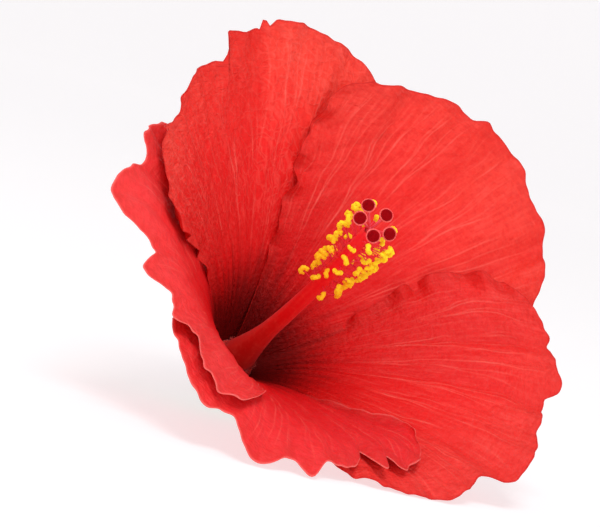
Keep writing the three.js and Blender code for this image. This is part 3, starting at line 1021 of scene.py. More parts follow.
@dataclass(frozen=True)
class Petal:
    """One petal: a thin blade on the funnel that is pleated in the throat and waved at its rim.

    Its half widths are degrees of azimuth along its length, and its reach is millimetres across it.
    trim is what its rim reaches beyond that, in millimetres across it, swell is how many degrees
    wider its counter side is along its length, and lean is how many degrees its lines lean
    counter-clockwise at the rim, across it. frills are the waves of its two sides, and each crease
    is a place across it, a width to its counter side and a height in millimetres. tuck is how far
    its counter side, which lies over the next petal, dips towards that one.

    Heights, runs and thicknesses are millimetres. below is how far its claw reaches under z = 0.
    Its layer is how far it rises off the funnel over layer_per degrees, so that its counter side
    lies over its neighbour. A pair named for across, share or run is where something sets in and
    how far it takes, measured across the petal, as a share of its length or in millimetres up it.
    """

    name: str
    azimuth: float
    clockwise: Knots
    counter: Knots
    reach: Knots
    seed: int
    trim: Knots = ((-1, 0), (1, 0))
    swell: Knots = ((0, 0), (1, 0))
    lean: Knots = ((-1, 0), (1, 0))
    frills: Span = (0.3, 0.3)
    creases: tuple[Triple, ...] = ()
    tuck: float = 1.5
    finish: PetalFinish = PetalFinish()

    columns: int = 210
    rows: int = 130
    crowding: float = 0.75
    below: float = 1.6
    below_share: Span = (0.06, -0.06)
    swell_across: Span = (0.3, 0.7)
    lean_share: Span = (0.8, 0.2)
    trim_power: int = 6
    layer_at_claw: float = 1.0
    layer_at_rim: float = 2.6
    layer_per: float = 60.0
    thickness: float = 0.46
    rim_thickness: float = 0.14
    thick_margin: float = 9.0

    crenation: float = 0.12
    frill_waves: Waves = ((0.9, 5.0), (0.6, 9.0))
    frill_share: Span = (0.0, 0.6)
    notch_waves: Waves = ((1.0, 0.17), (0.7, 0.31))
    pleat: float = 0.13
    pleat_sway: Span = (0.7, 5.1)
    pleat_in_run: Span = (0.0, 9.0)
    pleat_out_run: Span = (62.0, -40.0)
    rim_wave: float = 0.42
    rim_waves: Waves = ((0.8, 0.09), (0.6, 0.16))
    rim_share: Span = (0.74, 0.26)
    side_waves: Waves = ((0.8, 0.095), (0.5, 0.15))
    side_share: Span = (0.25, 0.3)
    side_across: Span = (0.72, 0.28)
    dimple: float = 0.16
    dimple_sizes: tuple[Triple, ...] = (
        (1.0, 13.0, 17.0), (0.8, 8.0, 11.0), (0.5, 5.0, 9.0), (0.35, 3.4, 4.6),
    )  # fmt: skip
    dimple_run: Span = (12.0, 30.0)
    degrees_per_arc: float = 60.0
    crease_share: Span = (0.25, 0.6)
    crease_lip: float = 0.05
    fold_share: Span = (0.35, 0.5)
    fold_height: float = 1.5
    tuck_across: Span = (0.55, 0.4)
    tuck_in_share: Span = (0.0, 0.2)
    tuck_out_share: Span = (1.0, -0.15)
    vein_seeds: int = 17

    def veins(self) -> Veins:
        """The petal's own veins."""
        return Veins(seed=self.seed % self.vein_seeds)

    def grid(self) -> tuple[np.ndarray, np.ndarray]:
        """Places across and along the petal, crowded towards its margins."""
        bend = self.crowding * math.pi / 2
        across = np.sin(np.linspace(-bend, bend, self.columns)) / math.sin(bend)
        share = np.sin(np.linspace(0, bend, self.rows)) / math.sin(bend)
        return np.meshgrid(across, share)

    def middle(self, across: np.ndarray, share: np.ndarray) -> tuple[np.ndarray, np.ndarray]:
        """The petal's middle surface.

        Args:
            across: places across the petal.
            share: their shares of the way to the rim.

        Returns:
            The points, and how far up the funnel each is.
        """
        draw = Draw(self.seed)
        frill = waves(share, self.frill_waves, draw) * ease(share, *self.frill_share)
        half = np.where(across < 0, through(self.clockwise, share), through(self.counter, share))
        half = half + through(self.swell, share) * ease(across, *self.swell_across)
        offset = across * (half + frill * self.crenation)
        offset = offset + through(self.lean, across) * ease(share, *self.lean_share)
        notch = waves(offset, self.notch_waves, draw) * self.crenation
        plain = through(self.reach, across)
        reach = plain + through(self.trim, across) + notch
        run = share * (plain + (reach - plain) * share**self.trim_power)
        run = run - self.below * ease(share, *self.below_share)
        azimuth = self.azimuth + offset
        layer = self.layer_at_claw + (self.layer_at_rim - self.layer_at_claw) * ease(share, 0.0, 1.0)
        lift = layer * offset / self.layer_per + FUNNEL.ruffle(azimuth, run)
        return FUNNEL.at(azimuth, run, lift + self.relief(across, share, offset, run, draw)), run

    def relief(
        self,
        across: np.ndarray,
        share: np.ndarray,
        offset: np.ndarray,
        run: np.ndarray,
        draw: Draw,
    ) -> np.ndarray:
        """How far the petal's own folds, waves and dimples stand out of its smooth surface.

        Args:
            across: places across the petal.
            share: their shares of the way to the rim.
            offset: their degrees of azimuth from the petal's middle.
            run: how far up the petal they are, in millimetres.
            draw: the draws that shift the waves.

        Returns:
            The heights towards the flower's inside, in millimetres.
        """
        aside, number = self.veins().strip(across, share)
        uneven, rate = self.pleat_sway
        depth = self.pleat * (1 + uneven * np.sin(number * rate + self.seed))
        pleats = -np.cos(2 * math.pi * aside) * depth
        pleats = pleats * ease(run, *self.pleat_in_run) * ease(run, *self.pleat_out_run)
        rim = waves(offset, self.rim_waves, draw) * ease(share, *self.rim_share) * self.rim_wave
        side = waves(run, self.side_waves, draw) * ease(abs(across), *self.side_across) ** 2
        side = side * (np.where(across < 0, *self.frills) * ease(share, *self.side_share))
        wide = offset * run / self.degrees_per_arc
        dimples = sum(
            size * np.sin(2 * math.pi * (wide / long + draw())) * np.sin(2 * math.pi * (run / high + draw()))
            for size, long, high in self.dimple_sizes
        )
        falls = self.falls(across) * ease(share, *self.crease_share)
        over = ease(across, *self.tuck_across) * ease(share, *self.tuck_in_share)
        over = over * ease(share, *self.tuck_out_share)
        smoothed = pleats + rim + side - falls - over * self.tuck
        return smoothed + dimples * self.dimple * ease(run, *self.dimple_run)

    def falls(self, across: np.ndarray) -> np.ndarray:
        """How deep the creases are across the petal, in millimetres: steep, then gently back."""
        return sum(
            (ease(across, at - self.crease_lip, self.crease_lip) - ease(across, at, wide)) * high
            for at, wide, high in self.creases
        )

    @staticmethod
    def margin(points: np.ndarray) -> np.ndarray:
        """How far each point of a petal's grid is from its nearest free edge, in millimetres."""
        along = np.linalg.norm(np.diff(points, axis=1), axis=-1)
        up = np.linalg.norm(np.diff(points, axis=0), axis=-1)
        from_left = np.pad(np.cumsum(along, axis=1), ((0, 0), (1, 0)))
        from_right = from_left[:, -1:] - from_left
        from_claw = np.pad(np.cumsum(up, axis=0), ((1, 0), (0, 0)))
        to_rim = from_claw[-1:] - from_claw
        return np.minimum(np.minimum(from_left, from_right), to_rim)

    def build(self) -> None:
        """Builds and dresses the petal."""
        across, share = self.grid()
        points, run = self.middle(across, share)
        margin = self.margin(points)
        grown = self.thickness - self.rim_thickness
        half = (self.rim_thickness + grown * ease(margin, 0.0, self.thick_margin)) / 2
        # painted shade: how far each point lies on the far side of a crease, by the crease's depth
        fold = self.falls(across) / self.fold_height * ease(share, *self.fold_share)
        shell = Shell()
        blade(shell, points, half, across=across, share=share, run=run, margin=margin, fold=fold)
        material = self.finish.material(f"{self.name}_finish", self.veins())
        shell.dress(f"{self.name}_tissue", self.name, Slot.PETAL, material)


PETALS = (
    Petal(
        "petal_a",
        68,
        clockwise=((0, 45), (0.4, 56), (0.8, 58), (1, 55)),
        counter=((0, 42), (0.4, 44), (0.65, 46), (0.85, 53), (1, 60)),
        reach=(
            (-1, 60), (-0.9, 68), (-0.76, 74), (-0.62, 78), (-0.4, 80), (-0.18, 79), (-0.05, 78),
            (0, 76), (0.04, 71), (0.2, 70), (0.4, 65), (0.7, 64), (0.78, 60), (0.9, 58), (1, 52),
        ),
        seed=4011,
        trim=(
            (-0.8, 1.0), (-0.7, 1.3), (-0.6, 1.0), (-0.5, 0.4), (-0.4, 1.0), (-0.3, 1.2),
            (-0.265, 1.1), (-0.252, 0.7), (-0.24, -0.3), (-0.213, 1.4), (-0.2, -1.2), (-0.19, -0.9),
            (-0.14, -1.7), (-0.1, -1.5), (-0.04, -0.4), (0, 0.1), (0.035, 1.8), (0.055, 0.6), (0.075, 2.0),
            (0.1, 2.3), (0.15, 0.8), (0.2, 0.5), (0.3, 0.5), (0.35, 1.0), (0.4, 1.4), (0.45, 0.2),
            (0.6, 0.5), (0.85, 0.3), (0.9, 0.8), (0.95, 2.0), (1, 1.2),
        ),
        swell=((0.5, 0), (0.75, 2.0), (0.9, 2.5), (1, 1.2)),
        lean=((-0.15, 0), (-0.04, 1.4), (0, -0.8), (0.035, -2.8), (0.06, -1.6), (0.1, -0.3), (0.14, 0)),
        frills=(0.3, 0.7),
        creases=((-0.2, 0.8, 1.6), (0.3, 0.3, 0.4)),
        finish=PetalFinish(net=0.15),
    ),
    Petal(
        "petal_b",
        -12,
        clockwise=((0, 45), (0.4, 56), (0.8, 56), (1, 50)),
        counter=((0, 52), (0.2, 56), (0.45, 56), (0.7, 52), (0.87, 49), (1, 47)),
        reach=(
            (-1, 55), (-0.8, 66), (-0.54, 72), (-0.42, 76), (-0.26, 80), (-0.04, 83), (0.14, 86),
            (0.28, 86), (0.4, 83), (0.55, 80), (0.8, 74), (0.94, 68), (1, 62),
        ),
        seed=5023,
        trim=(
            (-0.5, 0), (-0.42, 0.7), (-0.35, 0.1), (-0.25, 0), (-0.2, 1.1), (-0.15, 0.2), (0, 0),
            (0.05, 0.8), (0.1, 0), (0.17, -0.9), (0.2, -0.8), (0.25, -1.2), (0.3, 0), (0.36, -1.3),
            (0.4, 0), (0.45, 0.8), (0.5, 0.8), (0.6, 0), (0.7, -0.4), (0.75, -0.7), (0.8, 0),
        ),
        swell=((0.5, 0), (0.6, 1.2), (0.7, 0.4), (0.78, 3.6), (0.9, 3.6), (1, 3.4)),
        frills=(0.3, 1.5),
        creases=((0.2, 0.25, 0.8), (-0.3, 0.2, 0.8)),
        tuck=0.8,
        # painted shade: darker face and rim-ward colours than petal A's, toning this petal down where it
        # faces the key light
        finish=PetalFinish(face=paint(231, 40, 36), light=paint(231, 60, 49)),
    ),
    Petal(
        "petal_c",
        280,
        clockwise=((0, 45), (0.4, 56), (0.8, 60), (1, 60)),
        counter=((0, 40), (0.25, 44), (0.4, 50), (0.6, 56), (0.8, 56), (1, 48)),
        reach=(
            (-1, 61), (-0.9, 64), (-0.72, 66), (-0.54, 71), (-0.3, 71), (-0.15, 76), (0, 76),
            (0.08, 74), (0.25, 74), (0.33, 78), (0.52, 75), (0.7, 73), (0.85, 70), (1, 66),
        ),
        seed=6047,
        trim=(
            (-1, -1.0), (-0.9, -1.8), (-0.85, -1.5), (-0.8, -0.2), (-0.6, -0.3), (-0.55, -0.8),
            (-0.5, 0.4), (-0.4, 1.0), (-0.35, 0.6), (-0.3, -0.6), (-0.25, -0.6), (-0.2, 0.6),
            (-0.1, 0), (0.05, 0), (0.1, 0.5), (0.15, 1.3), (0.2, 1.0), (0.23, 0), (0.27, -1.4),
            (0.3, -2.7), (0.33, -1.6), (0.4, -1.4), (0.45, -0.9), (0.5, 0), (0.57, 0), (0.6, -0.9),
            (0.63, 0.2), (0.7, 0.2), (1, 0),
        ),
        frills=(0.3, 2.1),
        creases=((0.25, 0.2, 0.9), (-0.2, 0.2, 0.7), (0.55, 0.2, 0.9)),
        tuck=0.8,
        # painted shade: darker face and rim-ward colours than petal A's, toning this petal down where it
        # faces the key light
        finish=PetalFinish(face=paint(232, 40, 39), light=paint(231, 59, 53)),
    ),
    Petal(
        "petal_d",
        213,
        clockwise=((0, 45), (0.4, 54), (0.8, 56), (1, 53)),
        counter=((0, 45), (0.4, 50), (0.7, 55), (0.85, 55), (1, 45)),
        reach=(
            (-1, 62), (-0.9, 66), (-0.75, 69), (-0.58, 72), (-0.5, 69), (-0.38, 70), (-0.28, 74),
            (-0.13, 69), (0, 70), (0.1, 65), (0.2, 66), (0.38, 60), (0.47, 63), (0.55, 60),
            (0.66, 63), (0.8, 60), (1, 53),
        ),
        seed=7069,
        trim=(
            (-1, 0), (-0.95, -1.5), (-0.9, -2.6), (-0.8, -1.8), (-0.7, -2.0), (-0.65, -2.5),
            (-0.6, -2.6), (-0.55, -1.8), (-0.5, -2.2), (-0.45, -1.8), (-0.4, 0), (-0.35, -0.4),
            (-0.3, -1.2), (-0.25, -1.4), (-0.2, -0.6), (-0.15, -1.4), (-0.1, -2.1), (-0.05, -1.5),
            (0, -0.8), (0.05, -1.8), (0.1, -0.9), (0.15, -1.4), (0.2, -2.1), (0.25, -1.6),
            (0.3, 0), (0.34, -0.5), (0.39, -3.4), (0.43, -1.6), (0.47, 0.5), (0.5, 0.6),
            (0.55, -0.8), (0.6, 1.0), (0.65, 0), (0.7, -1.0), (0.74, 0), (1, 0),
        ),
        swell=((0, 0), (0.2, -12), (0.5, -12), (0.6, -9), (0.7, -7.5), (0.8, -4), (0.9, -1), (1, 0)),
        # painted reflection: pinker colours than the other petals', for pale light reflected off the curled
        # rim
        finish=PetalFinish(
            deep=paint(204, 8, 16), face=paint(230, 33, 40), light=paint(230, 50, 53),
            rim=paint(255, 124, 118), silk=0.08, relief=0.6,
        ),
    ),
    Petal(
        "petal_e",
        144,
        clockwise=((0, 45), (0.4, 54), (0.8, 55), (1, 52.5)),
        counter=((0, 42), (0.4, 50), (0.8, 52), (1, 49)),
        reach=(
            (-1, 58), (-0.88, 65), (-0.7, 70), (-0.53, 67), (-0.38, 73), (-0.27, 75), (-0.2, 72),
            (-0.05, 65), (0.1, 68), (0.2, 64), (0.33, 65), (0.42, 61), (0.57, 64), (0.8, 66),
            (0.9, 64), (1, 56),
        ),
        seed=8081,
        trim=(
            (-1, 1.2), (-0.9, 0.0), (-0.85, -0.9), (-0.8, -1.3), (-0.7, -1.0), (-0.65, -0.2),
            (-0.6, -2.0), (-0.55, -1.5), (-0.5, 1.0), (-0.45, 0.5), (-0.35, 0), (-0.3, -0.9),
            (-0.25, -0.6), (-0.2, -0.3), (-0.15, -1.2), (-0.1, -2.4), (-0.05, -1.7), (0, 0),
            (0.15, 0), (0.2, -0.4), (0.25, -1.5), (0.28, -2.6), (0.3, -2.2), (0.33, -0.9), (0.35, 0),
            (0.4, 0), (0.45, 0.6), (0.5, -1.4), (0.55, -1.5), (0.6, -0.2), (0.65, 0.6), (0.7, -0.8),
            (0.75, -0.5), (0.8, 0), (0.85, -1.2), (0.9, 0.6), (0.95, 0.9), (1, 0),
        ),
        # painted reflection: pinker colours than the other petals', for pale light reflected off the curled
        # rim
        finish=PetalFinish(
            deep=paint(206, 8, 16), face=paint(235, 45, 49), light=paint(239, 64, 65),
            rim=paint(255, 124, 118), silk=0.08, relief=0.6,
        ),
    ),
)  # fmt: skip


# ------------------------------------------------------------------------- column and pistil


@dataclass(frozen=True)
class Axis:
    """The slightly bent line that the column and the pistil follow."""

    bend: float = 3.1
    bend_height: float = 66.0
    bend_power: float = 3.3
    ribs: int = 5

    def sideways(self, height: np.ndarray) -> np.ndarray:
        """How far the line lies to +Y at a height."""
        return self.bend * (np.maximum(0, height) / self.bend_height) ** self.bend_power

    def bent(self, points: np.ndarray) -> np.ndarray:
        """Points moved sideways with the line."""
        moved = np.array(points, float)
        moved[..., 1] += self.sideways(moved[..., 2])
        return moved

    def rings(self, heights: np.ndarray, radii: np.ndarray, sides: int, rib: float) -> np.ndarray:
        """Rings of points round the line.

        Args:
            heights: their heights.
            radii: their radii.
            sides: how many points a ring has.
            rib: how far the faint ribs stand out, as a share of the radius.

        Returns:
            The points, ring by ring.
        """
        azimuth = np.arange(sides) * 360 / sides
        swell = 1 + rib * np.cos(np.radians(self.ribs * azimuth))
        return self.bent(radial(azimuth, np.outer(radii, swell), np.array(heights)[:, None]))


AXIS = Axis()


@dataclass(frozen=True)
class StaminalColumn:
    """The tube of joined filaments, the free stamens near its top, and the hairs round its foot.

    Each stamen stands a turn on from the last, crowded to two sides and scattered by a wander, in
    degrees. Leans are degrees up from square to the tube. Lengths and radii are millimetres, and a
    pair is from where to where a draw takes a measure. filament_taper is how thick a filament is at
    its root and how much thinner at its tip, as shares of its radius.
    """

    outer: Knots = (
        (-0.6, 5.6), (0.3, 4.7), (3, 4.15), (8, 3.2), (14, 2.4), (24, 2.0), (38, 1.9), (52, 1.8),
        (60, 1.5), (62, 1.3),
    )  # fmt: skip
    bore: Knots = ((-0.6, 3.0), (3, 3.0), (7, 1.9), (11, 1.05), (14, 1.0), (20, 1.0), (62, 1.0))
    sides: int = 48
    rings: int = 90
    rib: float = 0.02
    seed: int = 20617
    tissue: SmoothFinish = SmoothFinish(
        paint(236, 14, 8), paint(248, 24, 42), paint(248, 62, 50), streaks=0.3, specular=0.22
    )
    thread: SmoothFinish = SmoothFinish(paint(236, 20, 52), paint(240, 34, 68), paint(246, 80, 100))
    fuzz: SmoothFinish = SmoothFinish(paint(196, 22, 26), paint(240, 96, 88), paint(255, 150, 140))
    pollen: PollenFinish = PollenFinish()

    count: int = 64
    stamens_from: float = 38.0
    stamens_to: float = 60.5
    height_power: float = 0.8
    turn: float = 137.5
    crowd: float = 23.0
    wander: float = 24.0
    height_wander: float = 1.0
    root: float = 1.2
    length: Span = (2.4, 4.0)
    longer_by_height: float = 3.2
    lean: Span = (12.0, 44.0)
    lean_by_height: float = 0.6
    youth: float = 1.1
    youth_end: float = 0.35
    youth_wander: Span = (-0.3, 0.3)

    filament_radius: float = 0.16
    filament_taper: Span = (1.1, 0.35)
    filament_steps: int = 9
    filament_sides: int = 6
    bow: float = 1.2

    hairs: int = 200
    hair_length: float = 1.1
    hair_share: Span = (0.5, 1.1)
    hair_height: Span = (0.6, 2.6)
    hair_root: float = 0.05
    hair_turn: Span = (-50, 50)
    hair_rise: Span = (0.1, 1.3)
    hair_bow: float = 0.12
    hair_radii: Triple = (0.07, 0.055, 0.02)
    hair_sides: int = 5

    anther_arc: float = 0.76
    anther_sweep: float = 118.0
    anther_radius: float = 0.50
    anther_steps: int = 15
    anther_sides: int = 10
    anther_sway: float = 1.2
    anther_swell: Span = (0.85, 1.15)
    anther_lumps: Waves = ((0.16, 0.21), (0.14, 0.37))
    blunt: int = 8
    tip_share: float = 0.05
    knobs: int = 12
    knob_size: Span = (0.24, 0.40)
    knob_reach: float = 0.7
    knob_least: float = 0.1
    knob_rings: int = 7
    knob_end: float = 0.98
    knob_sides: int = 8
    knob_age: float = 0.3

    def tube(self) -> Shell:
        """The tube, a skin over its outside and its bore."""
        outside = np.linspace(self.outer[0][0], self.outer[-1][0], self.rings)
        inside = np.linspace(self.bore[-1][0], self.bore[0][0], self.rings)
        skins = [
            AXIS.rings(outside, through(self.outer, outside), self.sides, self.rib),
            AXIS.rings(inside, through(self.bore, inside), self.sides, 0.0),
        ]
        shell = Shell()
        along = np.concatenate([outside, inside]) / self.outer[-1][0]
        turn = np.tile(np.arange(self.sides) / self.sides, len(along))
        lathe(shell, np.concatenate(skins), along=np.repeat(along, self.sides), turn=turn)
        return shell

    def stamens(self) -> tuple[Shell, Shell]:
        """The free filaments, and their anthers."""
        draw, looks = Draw(self.seed), Draw(self.seed + 1)
        filaments, anthers = Shell(), Shell()
        for i in range(self.count):
            up = (i + 0.5) / self.count
            spread = (self.stamens_to - self.stamens_from) * up**self.height_power
            height = self.stamens_from + spread + draw.aside() * self.height_wander
            even = i * self.turn + draw.aside() * self.wander
            azimuth = even + self.crowd * math.sin(math.radians(2 * even))
            length = self.longer_by_height * up + draw.between(*self.length)
            steep = self.lean_by_height * up + (1 - self.lean_by_height) * draw()
            flattest, steepest = self.lean
            lean = math.radians(flattest + (steepest - flattest) * steep)
            root = AXIS.bent(radial(azimuth, self.root, height))
            ahead = radial(azimuth, math.cos(lean), math.sin(lean))
            self.filament(filaments, root, ahead, length, looks)
            young = (1 - up) * self.youth - self.youth_end
            age = np.clip(young + looks.between(*self.youth_wander), 0, 1)
            self.anther(anthers, root + ahead * length, ahead, looks, age)
        return filaments, anthers

    def down(self) -> Shell:
        """The short fine hairs round the column's foot, where the claws meet it."""
        draw = Draw(self.seed + 2)
        shell = Shell()
        for i in range(self.hairs):
            azimuth = i * self.turn
            height = draw.between(*self.hair_height)
            foot = radial(azimuth, through(self.outer, np.array(height)) - self.hair_root, height)
            lean = radial(azimuth + draw.between(*self.hair_turn), 1.0, draw.between(*self.hair_rise))
            length = self.hair_length * draw.between(*self.hair_share)
            tip = foot + unit(lean) * length
            middle = (foot + tip) / 2 + np.array([0.0, 0.0, self.hair_bow])
            path = AXIS.bent(np.stack([foot, middle, tip]))
            tube(shell, path, np.array(self.hair_radii), self.hair_sides, turn=0.0)
        return shell

    def filament(
        self, shell: Shell, root: np.ndarray, ahead: np.ndarray, length: float, draw: Draw
    ) -> None:
        """Adds a filament, slightly bowed on its way out.

        Args:
            shell: where it goes.
            root: where it leaves the column.
            ahead: the direction from its root to its tip.
            length: how far off its tip is.
            draw: the draws that bow it.
        """
        along = np.linspace(0, 1, self.filament_steps)
        side = turned_to(ahead)[:, :2] @ np.array([draw.aside(), draw.aside()])
        bow = np.outer(np.sin(math.pi * along), side) * self.bow
        path = root + np.outer(along * length, ahead) + bow
        thick, thinner = self.filament_taper
        radius = self.filament_radius * (thick - thinner * along)
        tube(shell, path, radius, self.filament_sides, turn=0.0)

    def anther(
        self, shell: Shell, seat: np.ndarray, ahead: np.ndarray, draw: Draw, age: float
    ) -> None:
        """Adds a horseshoe-shaped anther, which holds its filament's tip between its ends.

        Args:
            shell: where it goes.
            seat: the filament's tip.
            ahead: the filament's direction.
            draw: the draws that turn and swell it.
            age: 0 for ripe to 1 for young.
        """
        frame = turned_to(ahead)
        spin, sway = draw() * math.pi, draw.aside() * self.anther_sway
        side = frame[:, 0] * math.cos(spin) + frame[:, 1] * math.sin(spin)
        over = np.cross(ahead, side)
        top = ahead * math.cos(sway) + over * math.sin(sway)
        swell = draw.between(*self.anther_swell)
        steps = self.anther_steps
        turn = np.radians(np.linspace(-self.anther_sweep, self.anther_sweep, steps))
        arc = self.anther_arc * swell
        path = seat + np.outer(np.sin(turn) * arc, side) + np.outer(np.cos(turn) * arc, top)
        ends = np.sqrt(np.clip(1 - np.linspace(-1, 1, steps) ** self.blunt, self.tip_share, 1))
        lumps = 1 + waves(np.arange(steps), self.anther_lumps, draw)
        tube(shell, path, self.anther_radius * swell * ends * lumps, self.anther_sides, age=age)
        across = np.linspace(-self.knob_end, self.knob_end, self.knob_rings)
        for _ in range(self.knobs):
            at = path[1 + int(draw() * (steps - 2))]
            out = np.array([draw.aside() for _ in range(3)])
            out = out / max(np.linalg.norm(out), self.knob_least) * self.anther_radius * self.knob_reach
            size = draw.between(*self.knob_size)
            knob = at + out + np.outer(across * size, unit(out))
            younger = min(1.0, age + draw() * self.knob_age)
            tube(shell, knob, size * np.sqrt(1 - across**2), self.knob_sides, age=younger)

    def build(self) -> None:
        """Builds and dresses the tube, its foot's hairs, the filaments and the anthers."""
        filaments, anthers = self.stamens()
        for name, shell, finish, finish_name in (
            ("column_tube", self.tube(), self.tissue, "column_finish"),
            ("filaments", filaments, self.thread, "filament_finish"),
            ("foot_hairs", self.down(), self.fuzz, "foot_hair_finish"),
            ("anthers", anthers, self.pollen, "anther_finish"),
        ):
            shell.dress(name, "staminal_column", Slot.COLUMN, finish.material(finish_name))


@dataclass(frozen=True)
class Pistil:
    """The ovary and style inside the column, five branches, and a round velvet pad on each.

    The pads tilt outwards and nod together: pad_nod is the azimuth they nod to, and how far.
    """

    profile: Knots = (
        (-0.5, 1.6), (0.8, 2.4), (3, 2.6), (5, 1.9), (8, 0.9), (11, 0.62), (24, 0.62), (34, 0.62),
        (44, 0.62), (52, 0.62), (62.2, 0.62), (63, 0.7),
    )  # fmt: skip
    rings: int = 110
    sides: int = 24
    seed: int = 31013
    stem: SmoothFinish = SmoothFinish(paint(220, 30, 50), paint(236, 70, 84), paint(250, 120, 120))
    velvet: SmoothFinish = SmoothFinish(
        paint(160, 0, 10), paint(176, 2, 14), paint(112, 0, 6), roughness=0.8, relief=0.05,
        sheen=0.0, specular=0.08,
    )  # fmt: skip
    pale: SmoothFinish = SmoothFinish(
        paint(255, 92, 90), paint(255, 104, 100), paint(255, 150, 140), specular=0.15
    )

    branches: int = 5
    branch_path: Knots = ((0.1, 62.2), (0.8, 63.1), (2.4, 64.1), (4.0, 65.2))
    first_azimuth: float = 65.0
    branch_radius: float = 0.32
    branch_steps: int = 16
    thin_sides: int = 10

    pad_circle: float = 4.3
    pad_height: float = 65.5
    pad_radius: float = 1.5
    pad_depth: float = 1.0
    pad_tilt: float = 18.0
    pad_nod: Span = (180.0, 0.75)
    pad_rings: int = 18
    pad_sides: int = 36
    pad_power: float = 0.8
    pad_least: float = 0.02
    ring_radius: float = 0.23
    ring_steps: int = 41

    papillae: int = 170
    papilla_turn: float = 137.508
    papilla_edge: float = 0.97
    papilla_root: float = 0.08
    papilla_splay: float = 0.8
    papilla_sway: float = 0.5
    papilla_length: Span = (0.2, 0.34)
    papilla_radii: Triple = (0.07, 0.06, 0.03)
    papilla_sides: int = 5
    dome_power: float = 2.5

    def style(self) -> Shell:
        """The ovary, the style and its branches."""
        shell = Shell()
        heights = np.linspace(self.profile[0][0], self.profile[-1][0], self.rings)
        path = AXIS.bent(radial(0.0, 0.0, heights))
        tube(shell, path, through(self.profile, heights), self.sides, turn=0.0)
        along = np.linspace(0, len(self.branch_path) - 1, self.branch_steps)
        out, up = (through(list(enumerate(knots)), along) for knots in zip(*self.branch_path))
        for azimuth in self.azimuths():
            branch = AXIS.bent(radial(azimuth, out, up))
            tube(shell, branch, self.branch_radius, self.thin_sides, turn=0.0)
        return shell

    def azimuths(self) -> list[float]:
        """Where the branches stand round the style."""
        return [self.first_azimuth + 360 * i / self.branches for i in range(self.branches)]

    def pads(self) -> tuple[Shell, Shell]:
        """The velvet pads, and the pale rings round them."""
        draw = Draw(self.seed)
        pads, rings = Shell(), Shell()
        turn = np.linspace(0, 2 * math.pi, self.ring_steps)
        tilt = math.radians(self.pad_tilt)
        bowl = np.linspace(-0.5, 0.5, self.pad_rings)
        reach = np.sqrt(np.clip(1 - (2 * bowl) ** 2, 0, 1)) ** self.pad_power * self.pad_radius
        reach = np.maximum(reach, self.pad_least)
        for azimuth in self.azimuths():
            seat = AXIS.bent(radial(azimuth, self.pad_circle, self.pad_height))
            facing = radial(azimuth, math.sin(tilt), math.cos(tilt)) + radial(*self.pad_nod, 0.0)
            frame = turned_to(unit(facing))
            path = seat + np.outer(bowl * self.pad_depth, frame[:, 2])
            tube(pads, path, reach, self.pad_sides, turn=0.0)
            circle = np.stack([np.cos(turn), np.sin(turn)], axis=-1) @ frame[:, :2].T
            ring = seat + circle * self.pad_radius
            tube(rings, ring, self.ring_radius, self.thin_sides, turn=0.0)
            self.papilla_coat(pads, seat, frame, draw)
        return pads, rings

    def papilla_coat(self, shell: Shell, seat: np.ndarray, frame: np.ndarray, draw: Draw) -> None:
        """Adds the short hairs that make a pad velvet, on its upper side.

        Args:
            shell: where they go.
            seat: the pad's middle.
            frame: the pad's directions, the last of them square to it.
            draw: the draws that place and lean them.
        """
        for k in range(self.papillae):
            share = math.sqrt((k + 0.5) / self.papillae) * self.papilla_edge
            turn = math.radians(k * self.papilla_turn)
            flat = frame[:, 0] * math.cos(turn) + frame[:, 1] * math.sin(turn)
            dome = 0.5 * self.pad_depth * math.sqrt(max(0.0, 1 - share**self.dome_power))
            foot = seat + flat * share * self.pad_radius + frame[:, 2] * (dome - self.papilla_root)
            sway = frame[:, 1] * draw.aside() * self.papilla_sway
            lean = frame[:, 2] + flat * share * self.papilla_splay + sway
            tip = foot + unit(lean) * draw.between(*self.papilla_length)
            path = np.stack([foot, (foot + tip) / 2, tip])
            tube(shell, path, np.array(self.papilla_radii), self.papilla_sides, turn=0.0)

    def build(self) -> None:
        """Builds and dresses the style, the pads and their rings."""
        pads, rings = self.pads()
        for name, shell, finish, finish_name in (
            ("style_and_branches", self.style(), self.stem, "style_finish"),
            ("stigma_pads", pads, self.velvet, "stigma_finish"),
            ("stigma_rings", rings, self.pale, "stigma_ring_finish"),
        ):
            shell.dress(name, "pistil", Slot.PISTIL, finish.material(finish_name))


# ------------------------------------------------------------------------- calyx and stalk


